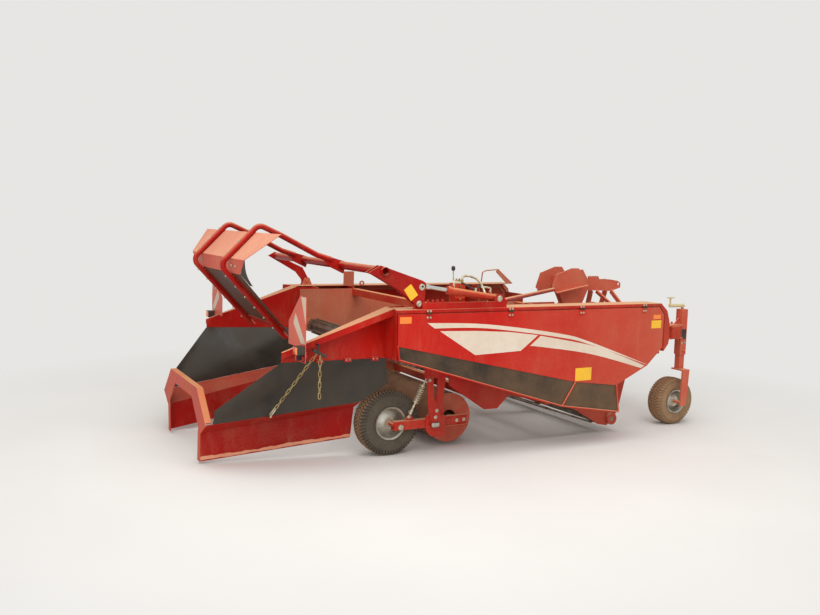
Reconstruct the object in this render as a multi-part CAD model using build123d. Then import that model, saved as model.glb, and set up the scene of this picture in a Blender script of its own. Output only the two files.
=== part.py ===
from build123d import *
import math
import os

os.makedirs("parts", exist_ok=True)

# All sizes are in millimetres. Station x is measured forward from the rear wheel axle, y to the left of the
# middle plane and z up from the floor. Each sub-part is drawn for the right-hand side, where y is negative.

# Main sizes: half width over the doors, height of the side deck, half width between the side plates
COVER_Y = 1180.0
DECK_Z = 1139.0
SIDE_Y = 840.0
SIDE_T = 8.0
SHEET = 4.0
DECK_REAR = -113.0
DECK_FRONT = 2290.0
GAP = 0.3
SWING_GAP = 5.0

# Wheels
REAR_R = 248.0
REAR_W = 165.0
REAR_RIM_R = 116.0
REAR_Y = SIDE_Y - 102.0
FRONT_X = 2850.0
FRONT_R = 210.0
FRONT_W = 160.0
FRONT_RIM_R = 98.0
FRONT_Y = SIDE_Y - 62.0
AXLE_R = 15.0
AXLE_PLAY = 0.08
HUB_R = 42.0
RIM_T = 4.0

# Hood
HOOD_X = 47.0
HOOD_Z = DECK_Z + 39.0
ARM_Y = COVER_Y - 61.0
ARM_GAP = 21.0
ARM_T = 10.0
TUBE_X = -245.0
TUBE_Z = HOOD_Z + 230.0
TUBE_R = 30.0
TUBE_WALL = 4.0
HOOP_Y = 400.0
HOOP_R = 21.0
PANEL_T = 5.0

# Hood cylinder, in the right-hand arm's plane
CYL_Y = -ARM_Y
CYL_BASE = (697.0, DECK_Z + 66.0)
CYL_EYE = (HOOD_X + 4.0, HOOD_Z + 126.0)
CYL_R = 26.0
ROD_R = 14.0
BASE_PIN_R = 12.0
EYE_PIN_R = 10.0

# Door hinge line
DOOR_TOP = DECK_Z - 31.0
HINGE_Z = DECK_Z - 26.0
HINGE_Y = COVER_Y + 9.0
HINGE_R = 6.0
HINGE_HALF = 20.0
LEAF_T = 6.0
FRAME_ROD_R = 6.0
RUBBER_T = 5.0

# Windrow former
FORMER_X = -1352.0
FORMER_T = 6.0
FORMER_DEEP = 45.0
RAIL_T = 6.0
RAIL_END = -275.0

# Sieve web
WEB_FRONT = (1960.0, 145.0)
WEB_REAR = (10.0, 790.0)
WEB_R = 62.0
BELT_T = 8.0
BELT_W = 60.0
BAR_R = 5.5
BAR_PITCH = 50.0
WEB_Y = SIDE_Y - 40.0

# Press roller and pick-up shaft
ROLLER_X = 570.0
ROLLER_Z = 222.0
ROLLER_R = 195.0
ROLLER_Y = SIDE_Y - 140.0
ROLLER_WALL = 6.0
ROLLER_HOLE_R = 62.0
SHAFT_X = 2090.0
SHAFT_Z = 120.0
SHAFT_SIDE = 50.0
SHAFT_R = 20.0

# Front beam and legs
BEAM_X = FRONT_X - 120.0
BEAM_HALF = 50.0
BEAM_Z = 850.0
LEG_X = FRONT_X + 15.0
LEG_Y = SIDE_Y + 10.0
LEG_SIDE = 70.0
LEG_WALL = 5.0
LEG_INNER = 56.0

# Rear rocker arms
ARM_LINE_Y = SIDE_Y + 10.0
TUBE_WIDE = 50.0
TUBE_TALL = 66.0

# Chain links: outer length, outer width, bar
LINK_LONG = 50.0
LINK_WIDE = 24.0
LINK_BAR = 6.5
LINK_BITE = 0.7
LINK_PITCH = LINK_LONG - 2 * LINK_BAR + LINK_BITE

# Hitch, category 2
LOWER_X = BEAM_X + 230.0
LOWER_Z = 598.0
LOWER_Y = 412.5
LOWER_PIN_R = 14.0
TOP_X = BEAM_X + 106.0
TOP_Z = DECK_Z + 69.0
TOP_BORE_R = 12.9
MAST_IN = 26.0
PTO_Z = 690.0
PTO_R = 17.4

# Station of the middle of the overall length, where x is 0 in the finished frame
X_MID = (FORMER_X + FRONT_X + FRONT_R) / 2


def vec(p):
    return Vector(p[0] - X_MID, p[1], p[2])


def block(x0, x1, y0, y1, z0, z1):
    centre = Pos((x0 + x1) / 2 - X_MID, (y0 + y1) / 2, (z0 + z1) / 2)
    return centre * Box(abs(x1 - x0), abs(y1 - y0), abs(z1 - z0))


def plate_xz(points, y0, y1):
    """Plate in a side plane from its (station, height) outline, between two values of y."""
    low, high = min(y0, y1), max(y0, y1)
    plane = Plane(origin=(0, high, 0), x_dir=(1, 0, 0), z_dir=(0, -1, 0))
    flat = [(x - X_MID, z) for x, z in points]
    return extrude(make_face(plane * Polyline(*flat, close=True)), amount=high - low, dir=(0, -1, 0))


def plate_yz(points, x0, x1):
    """Plate across the machine from its (y, z) outline, between two stations."""
    plane = Plane(origin=(min(x0, x1) - X_MID, 0, 0), x_dir=(0, 1, 0), z_dir=(1, 0, 0))
    return extrude(make_face(plane * Polyline(*points, close=True)), amount=abs(x1 - x0), dir=(1, 0, 0))


def plate_xy(points, z0, z1):
    """Level plate from its (station, y) outline, between two heights."""
    flat = [(x - X_MID, y) for x, y in points]
    plane = Plane(origin=(0, 0, min(z0, z1)), x_dir=(1, 0, 0), z_dir=(0, 0, 1))
    return extrude(make_face(plane * Polyline(*flat, close=True)), amount=abs(z1 - z0), dir=(0, 0, 1))


def rod(p, q, r):
    a, b = vec(p), vec(q)
    align = (Align.CENTER, Align.CENTER, Align.MIN)
    return Plane(origin=a, z_dir=b - a) * Cylinder(r, (b - a).length, align=align)


def rod_y(x, z, y0, y1, r):
    return rod((x, min(y0, y1), z), (x, max(y0, y1), z), r)


def beam(p, q, wide, tall):
    """Square bar from p to q: wide along y, or along x where the bar runs along y."""
    a, b = vec(p), vec(q)
    side = Vector(0, 1, 0) if abs((b - a).normalized().Y) < 0.9 else Vector(1, 0, 0)
    align = (Align.CENTER, Align.CENTER, Align.MIN)
    return Plane(origin=a, x_dir=side, z_dir=b - a) * Box(wide, tall, (b - a).length, align=align)


def slab(a0, a1, b0, b1, lift):
    """Ruled sheet between edge a0-a1 and edge b0-b1, thickened by the vector lift."""
    up = Vector(*lift)
    wires = []
    for p, q in ((a0, a1), (b0, b1)):
        u, v = vec(p), vec(q)
        wires.append(Wire.make_polygon([u, v, v + up, u + up], close=True))
    return Part() + Solid.make_loft(wires, True)


def bent_tube(points, r, bend):
    path = FilletPolyline(*[(x - X_MID, y, z) for x, y, z in points], radius=bend)
    return sweep(Plane(origin=path @ 0, z_dir=path % 0) * Circle(r), path=path)


def turned(x, y, z, profile):
    """Revolve a list of (radius, offset along y) points about the cross axis through (x, y, z)."""
    plane = Plane(origin=(x - X_MID, y, z), x_dir=(1, 0, 0), z_dir=(0, 0, 1))
    face = make_face(plane * Polyline(*profile, close=True))
    return revolve(face, axis=Axis((x - X_MID, y, z), (0, 1, 0)), revolution_arc=360)


def closed_solid(points, triangles):
    """Solid from its corners and outward triangles."""
    faces = [Face(Wire.make_polygon([points[i] for i in corners], close=True)) for corners in triangles]
    return Part() + Solid(Shell(faces))


def flip(shape):
    return mirror(shape, about=Plane.XZ)


def total(shapes):
    return Part() + [shape for shape in shapes]


def shift(p, dx=0.0, dy=0.0, dz=0.0):
    return (p[0] + dx, p[1] + dy, p[2] + dz)


def toward(p, q, dist):
    """Point at a distance from p on the way to q, in a side plane."""
    length = math.hypot(q[0] - p[0], q[1] - p[1])
    return (p[0] + (q[0] - p[0]) * dist / length, p[1] + (q[1] - p[1]) * dist / length)


# Door outline and skirt: (station, height)
DOOR_LINE = [
    (DECK_REAR - 35, DOOR_TOP), (DECK_FRONT - 18, DOOR_TOP), (DECK_FRONT + 36, DOOR_TOP - 65),
    (DECK_FRONT + 28, 765), (2165, 627), (1848, 485), (1431, 537), (1083, 614), (DECK_REAR - 32, 887),
]
SKIRT_TOP = [(DECK_REAR - 32, 887), (1083, 614), (1431, 537), (1848, 485)]
SKIRT_LOW = [(1883, 264), (1307, 355), (DECK_REAR - 17, 790)]
SKIRT_RODS = [
    (SKIRT_TOP[0], SKIRT_LOW[2]), (SKIRT_LOW[2], SKIRT_LOW[1]), (SKIRT_LOW[1], SKIRT_LOW[0]),
    (SKIRT_TOP[3], SKIRT_LOW[0]), (SKIRT_TOP[2], SKIRT_LOW[1]),
]
HINGES = [93.0, 790.0, 1458.0, 2103.0]
# Inner stiffening bars of the door: station, lower height
DOOR_BARS = [(700.0, 740.0), (1560.0, 560.0)]


def knuckle(x, part):
    """One half of a hinge's knuckle: part 0 is on the frame and part 1 on the door."""
    a = x - HINGE_HALF - GAP if part == 0 else x + GAP
    return rod((a, -HINGE_Y, HINGE_Z), (a + HINGE_HALF, -HINGE_Y, HINGE_Z), HINGE_R)


def leaf(x0, x1, z0, z1):
    return block(x0, x1, -COVER_Y - LEAF_T, -COVER_Y, z0, z1)


def door():
    panel = plate_xz(DOOR_LINE, -COVER_Y, -COVER_Y + SHEET)
    leaves, knuckles = [], []
    for x in HINGES:
        leaves.append(leaf(x - HINGE_HALF, x + HINGE_HALF, DOOR_TOP - 38, DOOR_TOP - 2))
        leaves.append(leaf(x + 2, x + HINGE_HALF, DOOR_TOP - 2, HINGE_Z - 2))
        knuckles.append(knuckle(x, 1))
    y = -COVER_Y + SHEET
    bars = [block(x - 20, x + 20, y, y + 6, z, DOOR_TOP - 45) for x, z in DOOR_BARS]
    y = -COVER_Y - 2
    rods = [rod((a[0], y, a[1]), (b[0], y, b[1]), FRAME_ROD_R) for a, b in SKIRT_RODS]
    return total([panel] + leaves + knuckles + bars + rods)


def skirt():
    y = -COVER_Y + SHEET + GAP
    return plate_xz(SKIRT_TOP + SKIRT_LOW, y, y + RUBBER_T)


# Inner side plate of the machine: (station, height)
SIDE_LINE = [
    (DECK_REAR, DECK_Z - 19), (400, DECK_Z - 19), (1000, 965), (DECK_FRONT + 10, 965), (DECK_FRONT + 100, 900),
    (DECK_FRONT + 100, 600), (DECK_FRONT - 30, 520), (2170, 170), (2060, 60), (1960, 80), (1700, 230),
    (1035, 398), (926, 297), (804, 298), (479, 510), (467, 600), (DECK_REAR, 760),
]
# Ribs between the side plate and the door: station, lower height
RIBS = [(60, 1080), (420, 900), (1150, 800), (1800, 800)]
# Apron behind the gap above and in front of the door: (station, height)
APRON_LINE = [
    (DECK_REAR - 35, DECK_Z - SHEET), (DECK_FRONT - 5, DECK_Z - SHEET), (DECK_FRONT + 55, DECK_Z - 100),
    (DECK_FRONT + 55, 770), (DECK_FRONT + 15, 770), (DECK_FRONT + 15, DECK_Z - 112),
    (DECK_FRONT - 30, DECK_Z - 60), (DECK_REAR - 35, DECK_Z - 60),
]
# Outer front corner: upper edge, then the edge along the door
CORNER = [(DECK_FRONT, DECK_Z), (DECK_FRONT + 70, DECK_Z - 64), (DECK_FRONT + 100, DECK_Z - 154),
          (DECK_FRONT + 100, 800), (DECK_FRONT + 50, 740), (DECK_FRONT + 44, DECK_Z - 94),
          (DECK_FRONT - 12, DECK_Z - 24)]
DECK_IN = SIDE_Y + 150.0
WALL_Y = COVER_Y - 120.0


def side_frame():
    apron_y = -COVER_Y + SHEET + SWING_GAP
    in_x, in_y, out_x = DECK_REAR - 7, -WALL_Y - GAP, DECK_REAR - 43
    plate = plate_xz(SIDE_LINE, -SIDE_Y - SIDE_T, -SIDE_Y)
    strip = [(DECK_REAR, -DECK_IN), (DECK_FRONT, -DECK_IN), (DECK_FRONT, -COVER_Y), (out_x, -COVER_Y),
             (in_x, in_y), (DECK_REAR, in_y)]
    deck = plate_xy(strip, DECK_Z - SHEET, DECK_Z)
    lip = block(out_x, DECK_FRONT, -COVER_Y, -COVER_Y + SHEET, HINGE_Z + SWING_GAP, DECK_Z)
    apron = plate_xz(APRON_LINE, apron_y, apron_y + SHEET)
    corner = plate_xz(CORNER, -COVER_Y, -COVER_Y + 30)
    bulk = block(DECK_FRONT + 44, DECK_FRONT + 50, -COVER_Y + 6, -SIDE_Y, 740, DECK_Z - 99)
    rear = slab((in_x, in_y, 775), (in_x, in_y, DECK_Z), (out_x, -COVER_Y, 790), (out_x, -COVER_Y, DECK_Z),
                (-SHEET, 0, 0))
    ribs = [block(x, x + 6, apron_y + 1, -SIDE_Y - SIDE_T, z, DECK_Z - SHEET) for x, z in RIBS]
    leaves, knuckles = [], []
    for x in HINGES:
        leaves.append(leaf(x - HINGE_HALF, x - 2, HINGE_Z + 2, HINGE_Z + 8))
        leaves.append(leaf(x - HINGE_HALF, x + HINGE_HALF, HINGE_Z + 8, DECK_Z - 3))
        knuckles.append(knuckle(x, 0))
    bearing = rod_y(SHAFT_X, SHAFT_Z, -SIDE_Y - 40, -SIDE_Y, SHAFT_R + 30)
    bore = rod_y(SHAFT_X, SHAFT_Z, -SIDE_Y - 50, -SIDE_Y + 10, SHAFT_R + AXLE_PLAY)
    return total([plate, deck, lip, apron, corner, bulk, rear, bearing] + ribs + leaves + knuckles) - bore


# Lattice on the left-hand deck: hose guard of a bent rod and a slanted plate, lifting eye and flat post
GUARD_Y = DECK_IN + 10.0


def left_deck_fittings():
    guard = bent_tube([(1918, GUARD_Y, DECK_Z - 1), (1933, GUARD_Y, 1257), (1975, GUARD_Y, 1275),
                       (2110, GUARD_Y, 1285)], 6, 12)
    plate = plate_xz([(2095, 1262), (2121, 1292), (2310, DECK_Z), (2230, DECK_Z)], GUARD_Y - 4, GUARD_Y + 4)
    post = block(380, 485, GUARD_Y - 4, GUARD_Y + 4, DECK_Z, 1270)
    eye_plane = Plane(origin=vec((570, GUARD_Y, DECK_Z + 18)), x_dir=(1, 0, 0), z_dir=(0, 1, 0))
    eye = eye_plane * (Cylinder(24, 12) - Cylinder(12, 12))
    return total([guard, plate, post, eye])


# Beams between the side plates: rear station, front station, lower height, upper height
BEAMS = [(400, 460, 1060, 1120), (1150, 1230, 885, 965), (DECK_FRONT - 60, DECK_FRONT + 20, 860, 960),
         (860, 920, 330, 390), (1400, 1450, 290, 330)]


def cross_beams():
    out = [block(x0, x1, -SIDE_Y, SIDE_Y, z0, z1) for x0, x1, z0, z1 in BEAMS]
    front = block(BEAM_X - BEAM_HALF, BEAM_X + BEAM_HALF, -SIDE_Y - 90, SIDE_Y + 90, BEAM_Z - BEAM_HALF,
                  BEAM_Z + BEAM_HALF)
    rear = DECK_FRONT + 20
    links = [block(rear, BEAM_X - BEAM_HALF, y - 6, y + 6, BEAM_Z - 110, BEAM_Z + 110)
             for y in (-SIDE_Y + 80, SIDE_Y - 80)]
    carriers = [block(rear, BEAM_X - BEAM_HALF, s * 156 - 6, s * 156 + 6, BEAM_Z - 80, BEAM_Z + 30)
                for s in (-1, 1)]
    return total(out + [front] + links + carriers)


# Top-link bracket seen from the side: (distance behind or ahead of the bore, height over the bore)
BRACKET_LINE = [(-746, -18), (-696, 102), (-446, 142), (-376, 40), (-113, 45), (-11, 30), (24, 8), (24, -36),
                (-93, -68), (-267, -60), (-379, -58), (-500, -308), (-590, -308)]
# Lower link plate: (station from the pin, height from the pin)
FOOT_LINE = [(-180, 302), (-60, 102), (40, 42), (40, -38), (-60, -48), (-260, 62), (-280, 202)]


def headstock():
    line = [(TOP_X + x, TOP_Z + z) for x, z in BRACKET_LINE]
    mast = [plate_xz(line, s * MAST_IN, s * (MAST_IN + ARM_T)) for s in (-1, 1)]
    comb = [(TOP_X - 350, TOP_Z + 26), (TOP_X - 350, TOP_Z + 62)]
    for tooth in range(6):
        x = TOP_X - 350 + tooth * 22
        comb += [(x, TOP_Z + 76), (x + 12, TOP_Z + 76), (x + 12, TOP_Z + 62), (x + 22, TOP_Z + 62)]
    comb += [(TOP_X - 218, TOP_Z + 26)]
    spacers = [plate_xz(comb, -5, 5)]
    spacers.append(block(TOP_X - 350, TOP_X - 218, -MAST_IN, MAST_IN, TOP_Z + 16, TOP_Z + 28))
    spacers.append(block(TOP_X - 580, TOP_X - 510, -MAST_IN, MAST_IN, TOP_Z - 250, TOP_Z - 240))
    feet, struts = [], []
    foot = [(LOWER_X + x, LOWER_Z + z) for x, z in FOOT_LINE]
    for s in (-1, 1):
        for off in (0, 60):
            feet.append(plate_xz(foot, s * (LOWER_Y - off), s * (LOWER_Y - off - 10)))
        feet.append(rod_y(LOWER_X, LOWER_Z, s * (LOWER_Y - 76), s * (LOWER_Y + 78), LOWER_PIN_R))
        struts.append(beam((TOP_X - 276, s * 40, TOP_Z - 66), (BEAM_X, s * 300, BEAM_Z + 45), 50, 14))
        struts.append(beam((TOP_X - 96, s * 40, TOP_Z - 66), (LOWER_X - 60, s * 372, LOWER_Z + 130), 50, 14))
    bore = rod_y(TOP_X, TOP_Z, -100, 100, TOP_BORE_R)
    return total(mast + spacers + feet + struts) - bore


# Mast cheek: (station from the bore, height over the bore)
CHEEK_LINE = [(-869, -34), (-821, 101), (-655, 158), (-571, 158), (-475, 32), (-466, -5), (-827, -71)]
CHEEK_Y = 130.0


def mast_plate():
    line = [(TOP_X + x, TOP_Z + z) for x, z in CHEEK_LINE]
    x0, x1, z0, z1 = TOP_X - 686, TOP_X - 666, TOP_Z - 18, TOP_Z + 82
    fold = [(line[6][0], line[6][1]), (line[5][0], line[5][1]), (line[5][0], line[5][1] + 8),
            (line[6][0], line[6][1] + 8)]
    out = []
    for s in (-1, 1):
        out.append(plate_xz(line, s * CHEEK_Y, s * (CHEEK_Y - 8)))
        out.append(plate_xz(fold, s * CHEEK_Y, s * (CHEEK_Y + 30)))
        out.append(block(x0, x1, s * (CHEEK_Y - 8), s * (MAST_IN + ARM_T), z0, z1))
    out.append(block(x0, x1, -MAST_IN, MAST_IN, z0, z1))
    return total(out)


def gearbox():
    case = block(2330, 2560, -150, 150, PTO_Z - 90, PTO_Z + 110)
    flange = rod((2560, 0, PTO_Z), (2620, 0, PTO_Z), 62)
    return total([case, flange])


def pto_stub():
    return rod((2620.5, 0, PTO_Z), (2740, 0, PTO_Z), PTO_R)


WALL_REAR = -923.0
WALL_DROP = 285.0
WALL_IN = 145.0
# Clamping tabs of the curtain: station of the middle
TABS = [-640.0, -420.0, -200.0]


def wall_edge(x):
    """Outer top edge of the discharge wall at a station: y and height."""
    t = (DECK_REAR - x) / (DECK_REAR - WALL_REAR)
    return -(WALL_Y - 52.0 * t), DECK_Z - WALL_DROP * t


def wall_face_y(x):
    t = (DECK_REAR - x) / (DECK_REAR - WALL_REAR)
    return wall_edge(x)[0] + WALL_IN + (20.0 - WALL_IN) * t


def wall_foot(x):
    t = (DECK_REAR - x) / (DECK_REAR - WALL_REAR)
    return 766.0 + 18.0 * t


def wall():
    a, b = DECK_REAR, WALL_REAR
    (ya, za), (yb, zb) = wall_edge(a), wall_edge(b)
    fa, fb = wall_face_y(a), wall_face_y(b)
    flange = slab((a, ya, za), (a, fa, za), (b, yb, zb), (b, fb, zb), (0, 0, -SHEET))
    face = slab((a, fa, wall_foot(a)), (a, fa, za), (b, fb, wall_foot(b)), (b, fb, zb), (0, SHEET, 0))
    band = slab((a, ya, za - 48), (a, ya, za), (b, yb, zb - 42), (b, yb, zb), (0, SHEET, 0))
    post = slab((a, ya, 775), (a, ya, za), (a, fa, 775), (a, fa, za), (-SHEET, 0, 0))
    side = -SIDE_Y - SIDE_T
    inner = slab((a, fa, 766), (a, fa, za - SHEET), (60, side, 720), (60, side, za - SHEET), (-SHEET, 0, 0))
    tabs = []
    for x in TABS:
        y, z = wall_face_y(x), wall_foot(x)
        tabs.append(block(x - 27, x + 27, y - 15, y + SHEET - 2, z + 2, z + 12))
        tabs.append(block(x - 27, x + 27, y - 15, y - 6, z - 14, z + 2))
    return total([flange, face, band, post, inner] + tabs)


# Cross section of the former's rail, from its foot up to the knee: (y, height) at the rear and at the front end
RAIL_REAR = [(502, 20), (519, 224), (673, 316)]
RAIL_FRONT = [(690, 140), (745, 380), (858, 438)]


def rail_at(x, k):
    """Point k of the rail's section at a station, on the right-hand side."""
    t = (x - FORMER_X) / (RAIL_END - FORMER_X)
    (y0, z0), (y1, z1) = RAIL_REAR[k], RAIL_FRONT[k]
    return (x, -(y0 + (y1 - y0) * t), z0 + (z1 - z0) * t)


LUG_X = -930.0
LUG_OUT = 46.0


def rail():
    wires = []
    for x in (FORMER_X + FORMER_T, RAIL_END):
        out = [vec(rail_at(x, k)) for k in range(3)]
        back = [point + Vector(0, RAIL_T, RAIL_T / 2) for point in reversed(out)]
        wires.append(Wire.make_polygon(out + back, close=True))
    strip = Part() + Solid.make_loft(wires, True)
    knee = rail_at(LUG_X, 2)
    lug = block(LUG_X - 16, LUG_X + 16, knee[1] - LUG_OUT, knee[1] + 2, knee[2] - 8, knee[2] + 1)
    return total([strip, lug])


def curtain():
    """Rubber sheet from the wall's foot to the rail's knee, with a clipped rear corner and a short front."""
    rear_x = FORMER_X + FORMER_DEEP + 5
    corners = [
        (DECK_REAR - 2, wall_face_y(DECK_REAR) - 2, wall_foot(DECK_REAR) - GAP),
        (DECK_REAR + 40, wall_face_y(DECK_REAR) + 14, 575),
        shift(rail_at(RAIL_END - 5, 2), dz=RAIL_T / 2 + GAP),
        shift(rail_at(rear_x, 2), dz=RAIL_T / 2 + GAP),
        (rear_x + 6, -703, 423),
        (WALL_REAR, wall_face_y(WALL_REAR) - 2, wall_foot(WALL_REAR) - GAP),
    ]
    n = len(corners)
    fan = [(0, 1, 2), (0, 2, 3), (0, 3, 5), (3, 4, 5)]
    points = [vec(p) for p in corners] + [vec(p) + Vector(0, RUBBER_T, 0) for p in corners]
    faces = fan + [tuple(i + n for i in reversed(corner)) for corner in fan]
    for i in range(n):
        j = (i + 1) % n
        faces += [(i, i + n, j + n), (i, j + n, j)]
    return closed_solid(points, faces)


# Rear hoop of the former: half outline of (y, height), outer edge from the top to the foot, then the inner edge
HOOP_LINE = [(420, 535), RAIL_REAR[2], RAIL_REAR[1], RAIL_REAR[0],
             (440, 20), (455, 225), (470, 262), (270, 445)]
HOOP_HOLES = [-260.0, -152.0, -40.0, 193.0, 370.0]


def former_hoop():
    outer, inner = HOOP_LINE[:4], HOOP_LINE[4:]
    right = [(-y, z) for y, z in outer + inner]
    left = [(y, z) for y, z in reversed(HOOP_LINE)]
    plate = plate_yz(right + left, FORMER_X, FORMER_X + FORMER_T)
    y0, z0 = outer[0]
    y1, z1 = toward(outer[1], outer[0], 24)
    flanges = [block(FORMER_X, FORMER_X + FORMER_DEEP, -y0, y0, z0 - FORMER_T, z0)]
    for s in (-1, 1):
        strip = [(s * y0, z0), (s * y1, z1), (s * (y1 - 4), z1 - 4.5), (s * (y0 - 4), z0 - FORMER_T)]
        flanges.append(plate_yz(strip, FORMER_X, FORMER_X + FORMER_DEEP))
    holes = [rod((FORMER_X - 1, y, z0 - 42), (FORMER_X + FORMER_T + 1, y, z0 - 42), 8) for y in HOOP_HOLES]
    return total([plate] + flanges) - holes


def chain_link(centre, along, side, scale=1.0):
    """Link with clipped corners: along its length and side the normal of its plane."""
    a, w, bar = LINK_LONG * scale / 2, LINK_WIDE * scale / 2, LINK_BAR * scale
    corners = [(a, w / 2), (a * 0.6, w), (-a * 0.6, w), (-a, w / 2)]
    outline = corners + [(-u, -v) for u, v in corners]
    plane = Plane(origin=centre - side * (bar / 2), x_dir=along, z_dir=side)
    hole = plane * Rectangle(2 * (a - bar), 2 * (w - bar))
    return extrude(make_face(plane * Polyline(*outline, close=True)) - hole, amount=bar, dir=side)


def chain(p, q, number):
    """Links from p towards q, every second one turned by 90 degrees."""
    a, b = vec(p), vec(q)
    along = (b - a).normalized()
    side = along.cross(Vector(0, 1, 0)).normalized()
    other = along.cross(side).normalized()
    return [chain_link(a + along * (LINK_LONG / 2 + i * LINK_PITCH), along, (side, other)[i % 2])
            for i in range(number)]


CHAIN_X = -688.0
CHAIN_Y = 1062.0
SLACK_LINKS = 8


def lift_chain():
    """One side's chain: strap from the wall's band, handle tube, slanted chain with shackle, slack end."""
    edge_z = wall_edge(CHAIN_X)[1]
    edge_y = wall_edge(CHAIN_X + 5)[0] - GAP
    strap = block(CHAIN_X - 5, CHAIN_X + 5, -CHAIN_Y - 4, edge_y, edge_z - 34, edge_z - 26)
    drop = block(CHAIN_X - 5, CHAIN_X + 5, -CHAIN_Y - 4, -CHAIN_Y + 4, edge_z - 92, edge_z - 26)
    handle = rod((CHAIN_X - 40, -CHAIN_Y, edge_z - 64), (CHAIN_X + 58, -CHAIN_Y, edge_z - 116), 11)
    top = (CHAIN_X - 6, -CHAIN_Y, edge_z - 84)
    knee = rail_at(LUG_X, 2)
    low = (LUG_X, knee[1] - LUG_OUT + 14, knee[2] + 8)
    a, b = vec(top), vec(low)
    along = (b - a).normalized()
    side = along.cross(Vector(0, 1, 0)).normalized()
    number = 2 * int(((b - a).length - LINK_LONG * 1.3) // (2 * LINK_PITCH))
    links = chain(top, low, number)
    scale = ((b - a).length - number * LINK_PITCH - LINK_BAR) / (LINK_LONG - LINK_BAR)
    links.append(chain_link(b - along * (LINK_LONG * scale / 2), along, side, scale))
    slack = chain((CHAIN_X + 14, -CHAIN_Y, edge_z - 94), (CHAIN_X + 14, -CHAIN_Y, 500), SLACK_LINKS)
    return total([strap, drop, handle] + links + slack)


BOARD_X = -820.0
# Warning board seen from behind: (distance in from the door plane, height)
BOARD_LINE = [(5, 802), (5, 1239), (120, 1239), (332, 1052), (332, 893), (156, 893), (156, 802)]


def boards():
    out = []
    edge_y = -wall_edge(BOARD_X + 26)[0]
    for s in (-1, 1):
        out.append(plate_yz([(s * (COVER_Y - y), z) for y, z in BOARD_LINE], BOARD_X - SHEET, BOARD_X))
        out.append(block(BOARD_X, BOARD_X + 26, s * (edge_y + GAP), s * (COVER_Y - 60), 830, 870))
    return total(out)


def lamps():
    """Rear lamp with an upper and a lower lens, and a round reflector on the board."""
    face = BOARD_X - SHEET
    out = []
    for s in (-1, 1):
        y0, y1 = s * (COVER_Y - 90), s * (COVER_Y - 10)
        out.append(block(face - 54, face, y0, y1, 858, 912))
        out.append(block(face - 40, face, y0, s * (COVER_Y - 60), 815, 858))
        out.append(rod((face - 8, s * (COVER_Y - 35), 832), (face, s * (COVER_Y - 35), 832), 22))
    return total(out)


WEB_SPAN = math.hypot(WEB_REAR[0] - WEB_FRONT[0], WEB_REAR[1] - WEB_FRONT[1])
WEB_DIR = ((WEB_REAR[0] - WEB_FRONT[0]) / WEB_SPAN, (WEB_REAR[1] - WEB_FRONT[1]) / WEB_SPAN)
WEB_TURN = math.pi * WEB_R
WEB_LOOP = 2 * (WEB_SPAN + WEB_TURN)
BARS = round(WEB_LOOP / BAR_PITCH)
BAR_STEP = WEB_LOOP / BARS


def web_point(s, r):
    """Point of the endless web at running length s, at radius r from the line through the end rollers."""
    (x0, z0), (x1, z1), (dx, dz) = WEB_FRONT, WEB_REAR, WEB_DIR
    if s >= WEB_SPAN + WEB_TURN:
        s, x0, z0, x1, z1, dx, dz = s - WEB_SPAN - WEB_TURN, x1, z1, x0, z0, -dx, -dz
    if s < WEB_SPAN:
        return (x0 + dx * s + dz * r, z0 + dz * s - dx * r)
    turn = (s - WEB_SPAN) / WEB_R
    out, up = math.sin(turn), math.cos(turn)
    return (x1 + r * (dz * up + dx * out), z1 + r * (dz * out - dx * up))


def on_turn(s):
    return (s % (WEB_SPAN + WEB_TURN)) >= WEB_SPAN


def belt_outline(r):
    """Belt line at radius r: straight runs, and one short flat for each bar round the end rollers."""
    marks = [(i + 0.5) * BAR_STEP for i in range(BARS)]
    kept = [s for s in marks if on_turn(s) or on_turn(s - BAR_STEP) or on_turn(s + BAR_STEP)]
    return make_face(Plane(origin=(-X_MID, 0, 0), x_dir=(1, 0, 0), z_dir=(0, -1, 0))
                     * Polyline(*[web_point(s, r) for s in kept], close=True))


def sieve_web():
    """Endless web: three belts round the end rollers, with hexagonal bars across them at an even pitch."""
    band = belt_outline(WEB_R) - belt_outline(WEB_R - BELT_T)
    out = []
    for y in (-WEB_Y + BELT_W, BELT_W / 2, WEB_Y):
        out.append(Pos(0, y, 0) * extrude(band, amount=BELT_W, dir=(0, -1, 0)))
    lift = BAR_R * math.cos(math.pi / 6)
    for i in range(BARS):
        (xa, za), (xb, zb) = [web_point(((i + side) * BAR_STEP) % WEB_LOOP, WEB_R) for side in (-0.5, 0.5)]
        length = math.hypot(xb - xa, zb - za)
        dx, dz = (xb - xa) / length, (zb - za) / length
        centre = ((xa + xb) / 2 + dz * lift, WEB_Y, (za + zb) / 2 - dx * lift)
        plane = Plane(origin=vec(centre), x_dir=(dx, 0, dz), z_dir=(0, -1, 0))
        out.append(extrude(plane * RegularPolygon(BAR_R, 6), amount=2 * WEB_Y, dir=(0, -1, 0)))
    return total(out)


def web_rollers():
    """End rollers inside the belts and two carrying rollers under the upper run."""
    r = (WEB_R - BELT_T) * math.cos(BAR_STEP / WEB_R / 2) - GAP
    out = [rod_y(x, z, -SIDE_Y, SIDE_Y, r) for x, z in (WEB_FRONT, WEB_REAR)]
    for share in (0.36, 0.7):
        x = WEB_FRONT[0] + (WEB_REAR[0] - WEB_FRONT[0]) * share
        z = WEB_FRONT[1] + (WEB_REAR[1] - WEB_FRONT[1]) * share
        out.append(rod_y(x, z, -SIDE_Y, SIDE_Y, r - 20))
    return total(out)


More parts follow.
